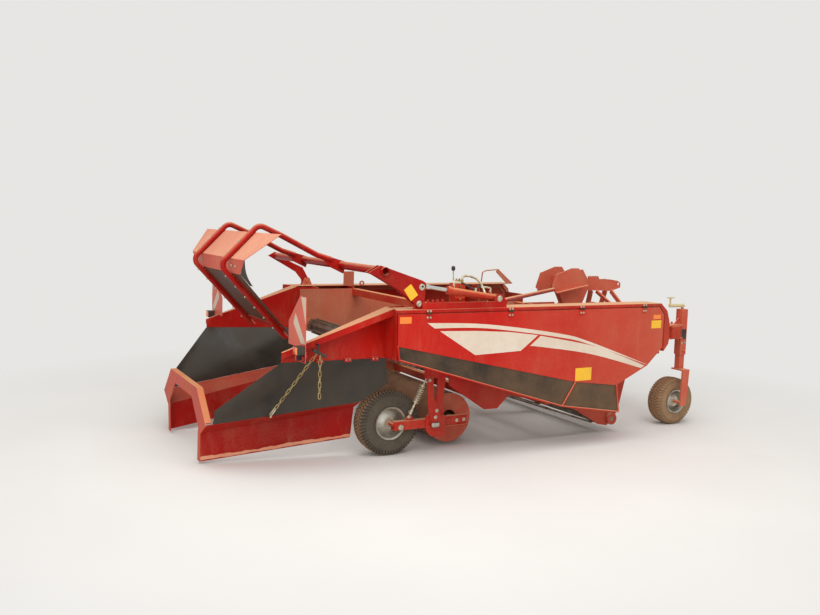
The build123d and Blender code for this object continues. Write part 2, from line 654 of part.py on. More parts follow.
def pickup_shaft():
    half = SHAFT_SIDE / 2
    inner = SIDE_Y - 6
    bar = block(SHAFT_X - half, SHAFT_X + half, -inner, inner, SHAFT_Z - half, SHAFT_Z + half)
    ends = rod_y(SHAFT_X, SHAFT_Z, -SIDE_Y - 36, SIDE_Y + 36, SHAFT_R)
    return total([bar, ends])


def front_leg():
    y, half = -LEG_Y, LEG_SIDE / 2
    low, high = BEAM_Z - BEAM_HALF, BEAM_Z + BEAM_HALF
    foot = FRONT_R + 302
    outer = block(LEG_X - half, LEG_X + half, y - half, y + half, 640, 1046)
    room = half - LEG_WALL
    outer -= block(LEG_X - room, LEG_X + room, y - room, y + room, 640, 1041)
    grip = LEG_INNER / 2
    inner = block(LEG_X - grip, LEG_X + grip, y - grip, y + grip, foot, 1030)
    plates = [block(BEAM_X - BEAM_HALF - 22, LEG_X - half, y - 60, y + 60, z, z + 12) for z in (high, low - 12)]
    bolts = [block(BEAM_X + dx - 6, BEAM_X + dx + 6, y + dy - 6, y + dy + 6, low - 30, high + 30)
             for dx in (-BEAM_HALF - 9, BEAM_HALF + 9) for dy in (-42, 42)]
    gusset = plate_xz([(LEG_X - half, high + 12), (LEG_X - half, high + 72), (LEG_X - half - 60, high + 12)],
                      y - 5, y + 5)
    pin = rod_y(LEG_X, 676, y - half - 26, y + half + 12, 8)
    jack = rod((LEG_X - 155, y, 1078), (LEG_X + 15, y, 1078), 15)
    neck = rod((LEG_X, y, 1040), (LEG_X, y, 1078), 12)
    crank = rod((LEG_X - 148, y, 1078), (LEG_X - 148, y, 1150), 8)
    grip_bar = block(LEG_X - 180, LEG_X - 112, y - 12, y + 12, 1144, 1154)
    crown = block(LEG_X - 42, LEG_X + 40, -FRONT_Y - FRONT_W / 2 - 82, y + 50, foot - 12, foot)
    out_y = -FRONT_Y - FRONT_W / 2 - 82
    blade = plate_xz([(LEG_X - 42, foot), (LEG_X + 40, foot), (FRONT_X + 35, FRONT_R - 24),
                      (FRONT_X - 32, FRONT_R - 24)], out_y, out_y + 14)
    axle = rod_y(FRONT_X, FRONT_R, out_y, -FRONT_Y + FRONT_W / 2 - 6, AXLE_R)
    return total([outer, inner, gusset, pin, jack, neck, crank, grip_bar, crown, blade, axle] + plates + bolts)


# Tyre section: share of the height over the rim, share of the width
TYRE_FORM = [(0.0, -0.42), (0.1, -0.42), (0.22, -0.5), (0.55, -0.5), (0.85, -0.42), (1.0, -0.3),
             (1.0, 0.3), (0.85, 0.42), (0.55, 0.5), (0.22, 0.5), (0.1, 0.42), (0.0, 0.42)]


def tyre(x, y, r, wide, rim_r):
    seat = rim_r + 1
    form = [(seat + (r - seat) * high, wide * across) for high, across in TYRE_FORM]
    return turned(x, y, r, form)


def wheel_rim(x, y, r, wide, rim_r):
    """Pressed rim: flanges, well, dish that bulges outwards to the hub, and the hub's sleeve."""
    w, edge = wide * 0.42 + GAP, rim_r + 0.5
    bore = AXLE_R + AXLE_PLAY
    flange = edge + 9
    profile = [
        (flange, -w - 8), (edge, -w), (edge, w), (flange, w + 8), (edge - RIM_T, w + 2), (edge - 14, 10),
        (edge - 22, -22), (HUB_R + 8, -46), (HUB_R, -50), (HUB_R, 54), (bore, 54), (bore, -58),
        (HUB_R + 8, -50), (edge - 18, -27), (edge - RIM_T, -w - 2),
    ]
    return turned(x, y, r, profile)


ROCKER_Z = 238.0
# Links between the rocker arm and the frame, seen from the side: (station, height)
LINK_FRONT = [(259, 596), (311, 596), (325, 432), (391, 295), (384, 226), (305, 226), (271, 374)]
LINK_REAR = [(368, 640), (438, 640), (411, 374), (430, 240), (350, 240), (350, 378)]
SPRING_SEAT = 585.0
JOINT_PLATE = [(262, 300), (430, 290), (436, 128), (309, 136), (262, 190)]


def rocker():
    y = -ARM_LINE_Y
    wide, tall, wall = TUBE_WIDE / 2, TUBE_TALL / 2, 5.0
    out_y = y - wide
    arm = block(-2, 440, out_y, y + wide, ROCKER_Z - tall, ROCKER_Z + tall)
    arm -= block(-3, 250, out_y + wall, y + wide - wall, ROCKER_Z - tall + wall, ROCKER_Z + tall - wall)
    web = block(440, 640, y - 4, y + 4, ROCKER_Z - 44, ROCKER_Z + 42)
    lips = [block(430, 640, out_y, y + 4, z, z + 7) for z in (ROCKER_Z - 44, ROCKER_Z + 35)]
    cheek = plate_xz(JOINT_PLATE, out_y - 8, out_y)
    front = plate_xz(LINK_FRONT, out_y - 16, out_y - 8)
    rear = plate_xz(LINK_REAR, y - 20, y - 10)
    lug = plate_xz([(96, ROCKER_Z + tall), (176, ROCKER_Z + tall), (150, 308), (128, 308)], y - 5, y + 5)
    clamp = rod_y(337, 218, out_y - 24, out_y - 8, 26)
    top_bolt = rod_y(285, 572, out_y - 22, out_y, 12)
    hanger = block(256, 445, out_y - 8, -SIDE_Y - SIDE_T, SPRING_SEAT, SPRING_SEAT + 105)
    axle = rod_y(0, REAR_R, out_y + wall, -REAR_Y + REAR_W / 2 - 4, AXLE_R)
    stub = rod_y(ROLLER_X, ROLLER_Z, y + 4, -ROLLER_Y - 6, 28)
    pivot = rod_y(ROLLER_X, ROLLER_Z, -ROLLER_Y - 12, -ROLLER_Y + 150, AXLE_R)
    return total([arm, web, cheek, front, rear, lug, clamp, top_bolt, hanger, axle, stub, pivot] + lips)


SPRING_LOW = (141.0, 313.6)
SPRING_HIGH = (276.5, SPRING_SEAT - 3.1)
COIL_R = 18.0
COIL_WIRE = 6.0
COIL_TURNS = 7
COIL_STEPS = 8


def coil(p, q, r, wire, turns):
    """Helical spring of square wire from p to q, its wire cut into straight steps."""
    a, b = vec(p), vec(q)
    along = (b - a).normalized()
    u = along.cross(Vector(0, 1, 0)).normalized()
    v = along.cross(u)
    steps = turns * COIL_STEPS
    rise = ((b - a).length - wire) / steps
    points, faces = [], []
    for i in range(steps + 1):
        turn = 2 * math.pi * i / COIL_STEPS
        out = u * math.cos(turn) + v * math.sin(turn)
        base = a + along * (rise * i)
        for radius, lift in ((r - wire, 0), (r, 0), (r, wire), (r - wire, wire)):
            points.append(base + out * radius + along * lift)
    for i in range(steps):
        for k in range(4):
            c, d = 4 * i + k, 4 * i + (k + 1) % 4
            faces += [(c, d, d + 4), (c, d + 4, c + 4)]
    last = 4 * steps
    faces += [(0, 3, 2), (0, 2, 1), (last, last + 1, last + 2), (last, last + 2, last + 3)]
    return closed_solid(points, faces)


def springs():
    """Spring rod of each rocker arm with its clevis, seat rings and coil."""
    out = []
    y = -ARM_LINE_Y
    length = math.hypot(SPRING_HIGH[0] - SPRING_LOW[0], SPRING_HIGH[1] - SPRING_LOW[1])
    marks = [toward(SPRING_LOW, SPRING_HIGH, d) for d in (0, 44, 96, 104, 226, 234, length)]
    p = [(x, y, z) for x, z in marks]
    for side in (-1, 1):
        place = [(x, -side * y, z) for x, y, z in p]
        body = [rod(place[0], place[6], 6), rod(place[0], place[1], 11), rod(place[2], place[3], 19),
                rod(place[4], place[5], 19)]
        spring = coil(place[3], place[4], COIL_R, COIL_WIRE, COIL_TURNS)
        out += [total(body), spring]
    return Part() + out


def press_roller():
    """Hollow drum: shell, end rings with a round opening, and a bearing disc set back inside each end."""
    y, r, t = ROLLER_Y, ROLLER_R, ROLLER_WALL
    shell = turned(ROLLER_X, 0, ROLLER_Z, [(r, -y), (r, y), (ROLLER_HOLE_R, y), (ROLLER_HOLE_R, y - t),
                                          (r - t, y - t), (r - t, -y + t), (ROLLER_HOLE_R, -y + t),
                                          (ROLLER_HOLE_R, -y)])
    bore = AXLE_R + AXLE_PLAY
    out = [shell]
    for s in (-1, 1):
        a = s * (y - 120)
        out.append(turned(ROLLER_X, 0, ROLLER_Z, [(r - t + 1, a), (r - t + 1, a - s * 8), (45, a - s * 8),
                                                  (45, a - s * 35), (bore, a - s * 35), (bore, a + s * 20),
                                                  (45, a + s * 20), (45, a)]))
    return total(out)


# Bell crank plates of the right-hand arm, plate of the left-hand arm: (station, height) from the hood's pivot
RIGHT_ARM = [(-414, 221), (-323, 270), (11, 162), (33, 122), (25, 0), (-25, -18), (-189, 107), (-367, 204)]
LEFT_ARM = [(-373, 231), (-306, 267), (-150, 172), (-37, 122), (25, 12), (-25, -18), (-107, 82), (-247, 162)]
# Bent tube of the hood from its foot on the cross tube: (station, height) from the cross tube
BENT_LINE = [(-85, 42), (-204, 77), (-485, 217), (-655, 292), (-940, 2), (-438, -540)]
HOOD_GUSSET = [(-204, 92), (44, 23), (13, -65), (-95, -15)]
EYE_BOSS = 20.0


def hood_frame():
    half = COVER_Y - 11
    cross = rod_y(TUBE_X, TUBE_Z, -half, half, TUBE_R)
    ends = [rod_y(TUBE_X, TUBE_Z, s * (half - 60), s * (half + 5), TUBE_R - TUBE_WALL) for s in (-1, 1)]
    out = [cross]
    for x, z in ((HOOD_X, HOOD_Z), CYL_EYE):
        for s in (-1, 1):
            y = -ARM_Y + s * (ARM_GAP + ARM_T / 2)
            out.append(rod_y(x, z, y - ARM_T / 2, y + ARM_T / 2, 34))
    out.append(rod_y(HOOD_X, HOOD_Z, ARM_Y - ARM_T / 2, ARM_Y + ARM_T / 2, 34))
    right = [(HOOD_X + x, HOOD_Z + z) for x, z in RIGHT_ARM]
    left = [(HOOD_X + x, HOOD_Z + z) for x, z in LEFT_ARM]
    for s in (-1, 1):
        out.append(plate_xz(right, -ARM_Y + s * ARM_GAP, -ARM_Y + s * (ARM_GAP + ARM_T)))
    out.append(plate_xz(left, ARM_Y - ARM_T / 2, ARM_Y + ARM_T / 2))
    gusset = [(TUBE_X + x, TUBE_Z + z) for x, z in HOOD_GUSSET]
    for s in (-1, 1):
        path = [(TUBE_X + x, s * HOOP_Y, TUBE_Z + z) for x, z in BENT_LINE]
        out.append(bent_tube(path, HOOP_R, 60))
        out.append(plate_xz(gusset, s * HOOP_Y - 4, s * HOOP_Y + 4))
    out += clamp_strips()
    frame = total(out)
    frame -= ends
    frame -= rod_y(CYL_EYE[0], CYL_EYE[1], -ARM_Y - 41, -ARM_Y + 39, EYE_BOSS)
    for s in (-1, 1):
        frame -= rod_y(HOOD_X, HOOD_Z, s * (ARM_Y - 69), s * (ARM_Y + 81), AXLE_R + AXLE_PLAY)
    return frame


def fall(share, off):
    """Point on the bent tube's lower leg: share of its length, distance off its axis to the front."""
    (x0, z0), (x1, z1) = BENT_LINE[4], BENT_LINE[5]
    span = math.hypot(x1 - x0, z1 - z0)
    nx, nz = -(z1 - z0) / span, (x1 - x0) / span
    return (TUBE_X + x0 + (x1 - x0) * share + nx * off, TUBE_Z + z0 + (z1 - z0) * share + nz * off)


PANEL_TOP_Y = 600.0
PANEL_LOW_Y = 470.0
PANEL_FROM = 0.143
PANEL_TO = 0.93


def clamp_strips():
    """Flat bars that hold the rubber panel: one along each bent tube and one across the panel's foot."""
    out = []
    for s in (-1, 1):
        a, b = fall(PANEL_FROM + 0.02, HOOP_R - 5), fall(PANEL_TO - 0.01, HOOP_R - 5)
        thick = vector_xz(fall(0.5, HOOP_R), fall(0.5, HOOP_R - 5))
        out.append(slab((a[0], s * (HOOP_Y - 35), a[1]), (a[0], s * (HOOP_Y + 35), a[1]),
                        (b[0], s * (HOOP_Y - 35), b[1]), (b[0], s * (HOOP_Y + 35), b[1]), thick))
    a, b = fall(PANEL_TO - 0.075, HOOP_R - 5), fall(PANEL_TO - 0.01, HOOP_R - 5)
    out.append(slab((a[0], -PANEL_LOW_Y, a[1]), (a[0], PANEL_LOW_Y, a[1]), (b[0], -PANEL_LOW_Y, b[1]),
                    (b[0], PANEL_LOW_Y, b[1]), vector_xz(fall(0.5, HOOP_R), fall(0.5, HOOP_R - 5))))
    return out


def vector_xz(to, start):
    return (to[0] - start[0], 0, to[1] - start[1])


def hood_panel():
    near, far = HOOP_R + GAP, HOOP_R + GAP + PANEL_T
    a, b = fall(PANEL_FROM, near), fall(PANEL_TO, near)
    thick = vector_xz(fall(0.5, far), fall(0.5, near))
    return slab((a[0], -PANEL_TOP_Y, a[1]), (a[0], PANEL_TOP_Y, a[1]), (b[0], -PANEL_LOW_Y, b[1]),
                (b[0], PANEL_LOW_Y, b[1]), thick)


# Folded hood sheet: station and height from the cross tube, half width
SHEET_TOP = (-680.0, 236.0, 960.0)
SHEET_FOLD = (-863.0, 50.0, 730.0)
SHEET_LOW = (-853.0, -57.0, 600.0)
SHEET_T = 3.0


def hood_sheet():
    top, fold, low = [(TUBE_X + x, w, TUBE_Z + z) for x, z, w in (SHEET_TOP, SHEET_FOLD, SHEET_LOW)]
    roof = slab((top[0], -top[1], top[2]), (top[0], top[1], top[2]), (fold[0], -fold[1], fold[2]),
                (fold[0], fold[1], fold[2]), (SHEET_T * 0.72, 0, -SHEET_T * 0.7))
    band = slab((fold[0] + 2, -fold[1] + 2, fold[2] - 1), (fold[0] + 2, fold[1] - 2, fold[2] - 1),
                (low[0], -low[1], low[2]), (low[0], low[1], low[2]), (SHEET_T, 0, 0))
    return total([roof, band])


RAIL_BAR_Y = ARM_Y + 47.0
# Comb teeth of the cylinder's rail: station of the middle
TEETH = [92.0, 132.0, 172.0, 212.0]
# Lug of the base pin: (station, height) from the pin
BASE_LUG = [(-45, -19), (-26, 30), (26, 30), (63, -20), (63, -66)]


def cylinder_rail():
    """Upright bar with hose teeth and the base lug, the pivot ears of both arms, and the brace to the mast."""
    lug = [(CYL_BASE[0] + x, CYL_BASE[1] + z) for x, z in BASE_LUG]
    line = [(HOOD_X + 3, DECK_Z), (HOOD_X + 3, DECK_Z + 47)] + lug
    outer = plate_xz(line, -RAIL_BAR_Y, -RAIL_BAR_Y + 8)
    inner = plate_xz([lug[0][:1] + (DECK_Z,)] + lug, -ARM_Y + 31, -ARM_Y + 41)
    teeth = [block(x - 9, x + 9, -RAIL_BAR_Y, -RAIL_BAR_Y + 8, DECK_Z + 46, DECK_Z + 66) for x in TEETH]
    pin = rod_y(CYL_BASE[0], CYL_BASE[1], -RAIL_BAR_Y, -ARM_Y + 41, BASE_PIN_R)
    ears = []
    ear = [(HOOD_X - 47, DECK_Z), (HOOD_X - 25, HOOD_Z + 27), (HOOD_X + 25, HOOD_Z + 27), (HOOD_X + 53, DECK_Z)]
    for y0, y1 in ((-ARM_Y - 12, -ARM_Y + 12), (ARM_Y - 23, ARM_Y - 13), (ARM_Y + 13, ARM_Y + 23)):
        ears.append(plate_xz(ear, y0, y1))
    for s in (-1, 1):
        ears.append(rod_y(HOOD_X, HOOD_Z, s * ARM_Y - 34, s * ARM_Y + 34, AXLE_R))
    brace = rod((CYL_BASE[0] + 43, -ARM_Y + 36, CYL_BASE[1] - 30), (TOP_X - 866, -CHEEK_Y - 15, TOP_Z - 36), 17)
    return total([outer, inner, pin, brace] + teeth + ears)


def cylinder_barrel():
    def on_axis(dist):
        x, z = toward(CYL_BASE, CYL_EYE, dist)
        return (x, CYL_Y, z)

    tube = rod(on_axis(20), on_axis(430), CYL_R)
    gland = rod(on_axis(405), on_axis(430), CYL_R + 4)
    eye = rod_y(CYL_BASE[0], CYL_BASE[1], CYL_Y - 18, CYL_Y + 18, BASE_PIN_R + 14)
    ports = []
    for dist in (62, 380):
        foot = on_axis(dist)
        ports.append(rod(shift(foot, dz=10), shift(foot, dz=CYL_R + 14), 10))
    hollow = rod(on_axis(160), on_axis(440), ROD_R + AXLE_PLAY)
    pin = rod_y(CYL_BASE[0], CYL_BASE[1], CYL_Y - 40, CYL_Y + 40, BASE_PIN_R + AXLE_PLAY)
    return total([tube, gland, eye] + ports) - [hollow, pin]


def cylinder_rod():
    a = toward(CYL_BASE, CYL_EYE, 250)
    b = toward(CYL_EYE, CYL_BASE, 14)
    c = toward(CYL_EYE, CYL_BASE, 70)
    bar = rod((a[0], CYL_Y, a[1]), (c[0], CYL_Y, c[1]), ROD_R)
    neck = rod((c[0], CYL_Y, c[1]), (b[0], CYL_Y, b[1]), ROD_R + 4)
    eye = rod_y(CYL_EYE[0], CYL_EYE[1], CYL_Y - 15, CYL_Y + 15, 24)
    pin = rod_y(CYL_EYE[0], CYL_EYE[1], -ARM_Y - 39, -ARM_Y + 39, EYE_PIN_R)
    return total([bar, neck, eye, pin])


VALVE_X = 520.0
VALVE_Y = -SIDE_Y - 10.0


def valve_block():
    """Valve on the side plate's top edge: body, three screwed ports, lever with its knob and the hoses."""
    body = block(VALVE_X - 50, VALVE_X + 50, VALVE_Y - 40, VALVE_Y + 40, DECK_Z - 20, 1300)
    foot = block(VALVE_X - 70, VALVE_X + 70, -DECK_IN - 20, VALVE_Y + 42, DECK_Z, DECK_Z + 8)
    ports = []
    for dx in (-10, 16, 42):
        plane = Plane(origin=vec((VALVE_X + dx, VALVE_Y, 1298)), z_dir=(0, 0, 1))
        ports.append(extrude(plane * RegularPolygon(11, 6), amount=34, dir=(0, 0, 1)))
    lever = rod((VALVE_X - 36, VALVE_Y, 1300), (VALVE_X - 40, VALVE_Y, 1400), 5)
    knob = rod((VALVE_X - 40, VALVE_Y, 1392), (VALVE_X - 41, VALVE_Y, 1428), 15)
    x = VALVE_X + 42
    hose = bent_tube([(x, VALVE_Y, 1328), (x + 60, VALVE_Y, 1352), (x + 150, VALVE_Y - 50, 1290),
                      (x + 160, VALVE_Y - 150, DECK_Z + 8)], 9, 30)
    return total([body, foot, lever, knob, hose] + ports)


CROSS_BEAMS = cross_beams()
MIRRORED = {
    "discharge_wall": wall(),
    "curtain": curtain(),
    "former_rail": rail(),
    "front_leg": front_leg(),
    "rocker_arm": rocker(),
    "door": door(),
    "door_skirt": skirt(),
    "front_tyre": tyre(FRONT_X, -FRONT_Y, FRONT_R, FRONT_W, FRONT_RIM_R),
    "front_rim": wheel_rim(FRONT_X, -FRONT_Y, FRONT_R, FRONT_W, FRONT_RIM_R),
    "rear_tyre": tyre(0, -REAR_Y, REAR_R, REAR_W, REAR_RIM_R),
    "rear_rim": wheel_rim(0, -REAR_Y, REAR_R, REAR_W, REAR_RIM_R),
}
SIDE = side_frame()
CHAIN = lift_chain()
SINGLE = {
    "side_frame_right": SIDE,
    "side_frame_left": total([flip(SIDE), left_deck_fittings()]),
    "cross_beams": CROSS_BEAMS,
    "headstock": headstock() - CROSS_BEAMS,
    "mast_plate": mast_plate(),
    "gearbox": gearbox(),
    "pto_stub": pto_stub(),
    "former_hoop": former_hoop(),
    "lift_chains": total([CHAIN, flip(CHAIN)]),
    "warning_boards": boards(),
    "lamps": lamps(),
    "sieve_web": sieve_web(),
    "web_rollers": web_rollers(),
    "pickup_shaft": pickup_shaft(),
    "spring_rods": springs(),
    "press_roller": press_roller(),
    "hood_frame": hood_frame(),
    "hood_sheet": hood_sheet(),
    "hood_panel": hood_panel(),
    "cylinder_rail": cylinder_rail(),
    "cylinder_barrel": cylinder_barrel(),
    "cylinder_rod": cylinder_rod(),
    "valve_block": valve_block(),
}
for name, shape in MIRRORED.items():
    export_step(shape, "parts/" + name + "_right.step")
    export_step(flip(shape), "parts/" + name + "_left.step")
for name, shape in SINGLE.items():
    export_step(shape, "parts/" + name + ".step")
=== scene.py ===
import math

import bmesh
import bpy
from mathutils import Matrix, Vector


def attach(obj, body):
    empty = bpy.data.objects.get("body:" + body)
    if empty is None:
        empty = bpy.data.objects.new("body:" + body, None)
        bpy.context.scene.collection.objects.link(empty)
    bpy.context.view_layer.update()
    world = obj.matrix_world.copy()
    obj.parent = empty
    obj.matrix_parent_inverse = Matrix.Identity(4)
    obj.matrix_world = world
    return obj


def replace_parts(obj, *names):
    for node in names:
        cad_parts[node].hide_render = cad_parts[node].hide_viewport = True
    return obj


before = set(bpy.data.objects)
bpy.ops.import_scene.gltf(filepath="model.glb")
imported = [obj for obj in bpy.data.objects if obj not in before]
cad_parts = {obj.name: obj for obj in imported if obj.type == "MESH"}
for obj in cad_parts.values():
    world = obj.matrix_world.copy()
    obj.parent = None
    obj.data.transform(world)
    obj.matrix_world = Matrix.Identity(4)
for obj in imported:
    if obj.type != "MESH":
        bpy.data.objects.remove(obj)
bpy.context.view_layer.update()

# Places are in millimetres: station x forward of the rear axle, y to the left, z up from the floor.
# X_MID is the station of the frame's origin.
X_MID = 854.0
MM = 0.001

# Name and sign of y
SIDES = (("right", -1), ("left", 1))

# Outer plane of the side doors, and the thickness of the stripes' film
COVER_Y, FILM_T = 1180.0, 0.5

# Wheels: station, y of the middle, radius, width, rim radius, number of tread blocks
REAR = dict(x=0.0, y=738.0, r=248.0, wide=165.0, rim=116.0, lugs=58)
FRONT = dict(x=2850.0, y=778.0, r=210.0, wide=160.0, rim=98.0, lugs=48)

# Camera, solved from the photograph: place in metres from the rear axle, angles in radians,
# focal length and picture width in pixels
CAMERA_AT = (-2.8034, -6.3573, 1.7452)
CAMERA_YAW = 0.4876
CAMERA_PITCH = 0.0999
CAMERA_ROLL = 0.0278
FOCAL_PX = 847.05
PHOTO_WIDTH = 820


def at(x, y, z):
    return Vector(((x - X_MID) * MM, y * MM, z * MM))


def rgb(red, green, blue):
    """Linear colour from the three 0 to 255 values of a screen colour."""
    out = []
    for value in (red, green, blue):
        c = value / 255
        out.append(c / 12.92 if c <= 0.04045 else ((c + 0.055) / 1.055) ** 2.4)
    return (*out, 1.0)


BACKDROP = (0.80, 0.79, 0.77, 1)
DUST = rgb(212, 165, 126)
WARM_DUST = rgb(212, 150, 104)
PINK_DUST = rgb(214, 160, 124)
ROLLER_SOIL = rgb(92, 72, 54)
TREAD_SOIL = rgb(142, 108, 80)
BARE_ZINC = rgb(208, 192, 150)


# Materials


def put(tree, value, target):
    """Set a node's input to a value, or link a socket to it."""
    if isinstance(value, bpy.types.NodeSocket):
        tree.links.new(value, target)
    else:
        target.default_value = value


def add_node(tree, kind, inputs, output, **settings):
    """New shader node with its settings and inputs; gives the output named."""
    node = tree.nodes.new("ShaderNode" + kind)
    for name, value in settings.items():
        setattr(node, name, value)
    for name, value in inputs.items():
        put(tree, value, node.inputs[name])
    return node.outputs[output]


class Graph:
    """A material's node tree with short calls for the nodes used here."""

    def __init__(self, name):
        self.material = bpy.data.materials.new(name)
        self.material.use_nodes = True
        self.tree = self.material.node_tree
        self.shader = self.tree.nodes["Principled BSDF"]
        self.coords = self.tree.nodes.new("ShaderNodeTexCoord")

    def noise(self, scale, detail=4.0, rough=0.55, stretch=(1, 1, 1)):
        place = add_node(self.tree, "Mapping", {"Scale": stretch, "Vector": self.coords.outputs["Object"]},
                         "Vector")
        values = {"Scale": scale, "Detail": detail, "Roughness": rough, "Vector": place}
        return add_node(self.tree, "TexNoise", values, "Fac")

    def cells(self, scale):
        values = {"Scale": scale, "Vector": self.coords.outputs["Object"]}
        return add_node(self.tree, "TexVoronoi", values, "Distance")

    def axis(self, name, kind="Object"):
        return add_node(self.tree, "SeparateXYZ", {"Vector": self.coords.outputs[kind]}, name)

    def ramp(self, value, low, high, to_low=0.0, to_high=1.0):
        values = {"Value": value, "From Min": low, "From Max": high, "To Min": to_low, "To Max": to_high}
        return add_node(self.tree, "MapRange", values, "Result")

    def math(self, kind, a, b=0.0, clamp=False):
        return add_node(self.tree, "Math", {0: a, 1: b}, "Value", operation=kind, use_clamp=clamp)

    def mix(self, share, a, b):
        return add_node(self.tree, "Mix", {"Factor": share, "A": a, "B": b}, "Result", data_type="RGBA")

    def bump(self, height, strength, distance):
        values = {"Strength": strength, "Distance": distance, "Height": height}
        put(self.tree, add_node(self.tree, "Bump", values, "Normal"), self.shader.inputs["Normal"])

    def finish(self, colour, rough, metal=0.0, coat=0.0, gleam=0.5):
        values = {"Base Color": colour, "Roughness": rough, "Metallic": metal, "Specular IOR Level": gleam,
                  "Coat Weight": coat, "Coat Roughness": 0.25}
        for name, value in values.items():
            put(self.tree, value, self.shader.inputs[name])
        return self.material


def dust_mask(g, flat=0.75, low=0.0, high=0.0, patch=0.35, front=0.0, inner=0.0):
    """Share of dust, most on flat tops, more low than high, more at the front, in patches."""
    up = g.ramp(g.axis("Z", "Normal"), 0.25, 0.9, 0.0, flat)
    height = g.ramp(g.axis("Z"), 0.15, 0.9, low, high)
    patches = g.ramp(g.noise(2.6, 6.0, 0.62), 0.38, 0.68, -patch / 2, patch / 2)
    grain = g.ramp(g.noise(210.0, 3.0, 0.7), 0.3, 0.7, -0.10, 0.10)
    total = g.math("ADD", up, height)
    total = g.math("ADD", total, patches)
    if inner:
        middle = g.math("MULTIPLY", g.math("SIGN", g.axis("Y")), -1.0)
        towards = g.math("MULTIPLY", g.axis("Y", "Normal"), middle)
        total = g.math("ADD", total, g.ramp(towards, 0.3, 0.8, 0.0, inner))
    if front:
        total = g.math("ADD", total, g.ramp(g.axis("X"), -0.3, 1.5, 0.0, front))
    return g.math("ADD", total, grain, clamp=True)


def paint(name, colour, deep, dust=DUST, soil_within=0.0, bare_above=0.0, **mask):
    """Sprayed enamel: slow colour drift between two tones, dust, orange peel and dulling under the dust.

    soil_within: half width in metres of a band caked with soil; bare_above: height where plating starts.
    """
    g = Graph(name)
    drift = g.ramp(g.noise(1.7, 5.0), 0.35, 0.68)
    tone = g.mix(drift, deep, colour)
    streak = g.ramp(g.noise(9.0, 6.0, 0.7, (1.0, 1.0, 0.22)), 0.52, 0.78, 0.0, 0.10)
    share = dust_mask(g, **mask)
    share = g.math("ADD", share, streak, clamp=True)
    base = g.mix(share, tone, dust)
    if soil_within:
        barrel = g.ramp(g.math("ABSOLUTE", g.axis("Y")), soil_within - 0.004, soil_within, 0.85, 0.0)
        caked = g.math("MULTIPLY", barrel, g.ramp(g.noise(7.0, 6.0), 0.2, 0.6, 0.7, 1.0))
        base = g.mix(caked, base, ROLLER_SOIL)
    if bare_above:
        base = g.mix(g.ramp(g.axis("Z"), bare_above, bare_above + 0.003), base, BARE_ZINC)
    gloss = g.ramp(share, 0.0, 0.7, 0.38, 0.85)
    peel = g.math("ADD", g.ramp(g.noise(420.0, 2.0), 0.0, 1.0, 0.0, 0.4), g.ramp(share, 0.0, 1.0, 0.0, 0.6))
    g.bump(peel, 0.12, 0.0006)
    return g.finish(base, gloss, gleam=0.16)


def rubber(name, colour, dusty, amount=(0.1, 0.75), scuff=0.25, front=0.0, rough=0.5, gleam=0.3):
    """Rubber sheet: cloudy dust film, wiped streaks, fine grain."""
    g = Graph(name)
    cloud = g.ramp(g.noise(3.1, 7.0, 0.66), 0.34, 0.7, *amount)
    streak = g.ramp(g.noise(14.0, 5.0, 0.7, (1.0, 1.0, 0.18)), 0.5, 0.8, 0.0, scuff)
    speck = g.ramp(g.noise(330.0, 2.0), 0.62, 0.75, 0.0, 0.3)
    if front:
        cloud = g.math("ADD", cloud, g.ramp(g.axis("X"), -1.0, 1.0, -front, front))
    share = g.math("ADD", g.math("ADD", cloud, streak), speck, clamp=True)
    base = g.mix(share, colour, dusty)
    g.bump(g.noise(160.0, 4.0, 0.7), 0.18, 0.0012)
    return g.finish(base, g.ramp(share, 0.0, 1.0, rough, 0.95), gleam=gleam)


def bare_metal(name, bright, dull, scale, rough, metal=0.9, spangle=False):
    """Bare or plated steel with stains, and zinc flowers where it is galvanised."""
    g = Graph(name)
    stain = g.ramp(g.noise(scale, 6.0, 0.65), 0.36, 0.7)
    base = g.mix(stain, bright, dull)
    if spangle:
        flowers = g.ramp(g.cells(75.0), 0.1, 0.9, 0.0, 0.35)
        base = g.mix(flowers, base, dull)
    fine = g.noise(240.0, 3.0, 0.6)
    g.bump(fine, 0.1, 0.0005)
    return g.finish(base, g.ramp(stain, 0.0, 1.0, rough, rough + 0.3), metal)


def tyre_rubber(name, x, z, r, dark, dusty):
    """Grey-brown dusty wall, tread packed with dry soil out to the radius r; axle and radius in metres."""
    g = Graph(name)
    cloud = g.ramp(g.noise(6.0, 7.0, 0.7), 0.3, 0.72, 0.15, 0.8)
    speck = g.ramp(g.noise(160.0, 3.0, 0.7), 0.5, 0.75, 0.0, 0.35)
    ahead = g.math("POWER", g.math("SUBTRACT", g.axis("X"), x), 2.0)
    up = g.math("POWER", g.math("SUBTRACT", g.axis("Z"), z), 2.0)
    tread = g.ramp(g.math("SQRT", g.math("ADD", ahead, up)), r - 0.009, r - 0.002, 0.0, 0.8)
    share = g.math("ADD", g.math("ADD", cloud, speck), tread, clamp=True)
    base = g.mix(share, dark, dusty)
    base = g.mix(tread, base, TREAD_SOIL)
    g.bump(g.noise(120.0, 5.0, 0.7), 0.3, 0.0015)
    return g.finish(base, 0.9, gleam=0.2)


def plain(name, colour, worn, rough, scale, coat=0.0):
    """Small fittings: one tone going over to a worn or dusty one."""
    g = Graph(name)
    share = g.ramp(g.noise(scale, 6.0, 0.65), 0.4, 0.75, 0.0, 0.5)
    base = g.mix(share, colour, worn)
    g.bump(g.noise(300.0, 2.0), 0.08, 0.0004)
    return g.finish(base, g.ramp(share, 0.0, 1.0, rough, min(rough + 0.3, 1.0)), coat=coat)


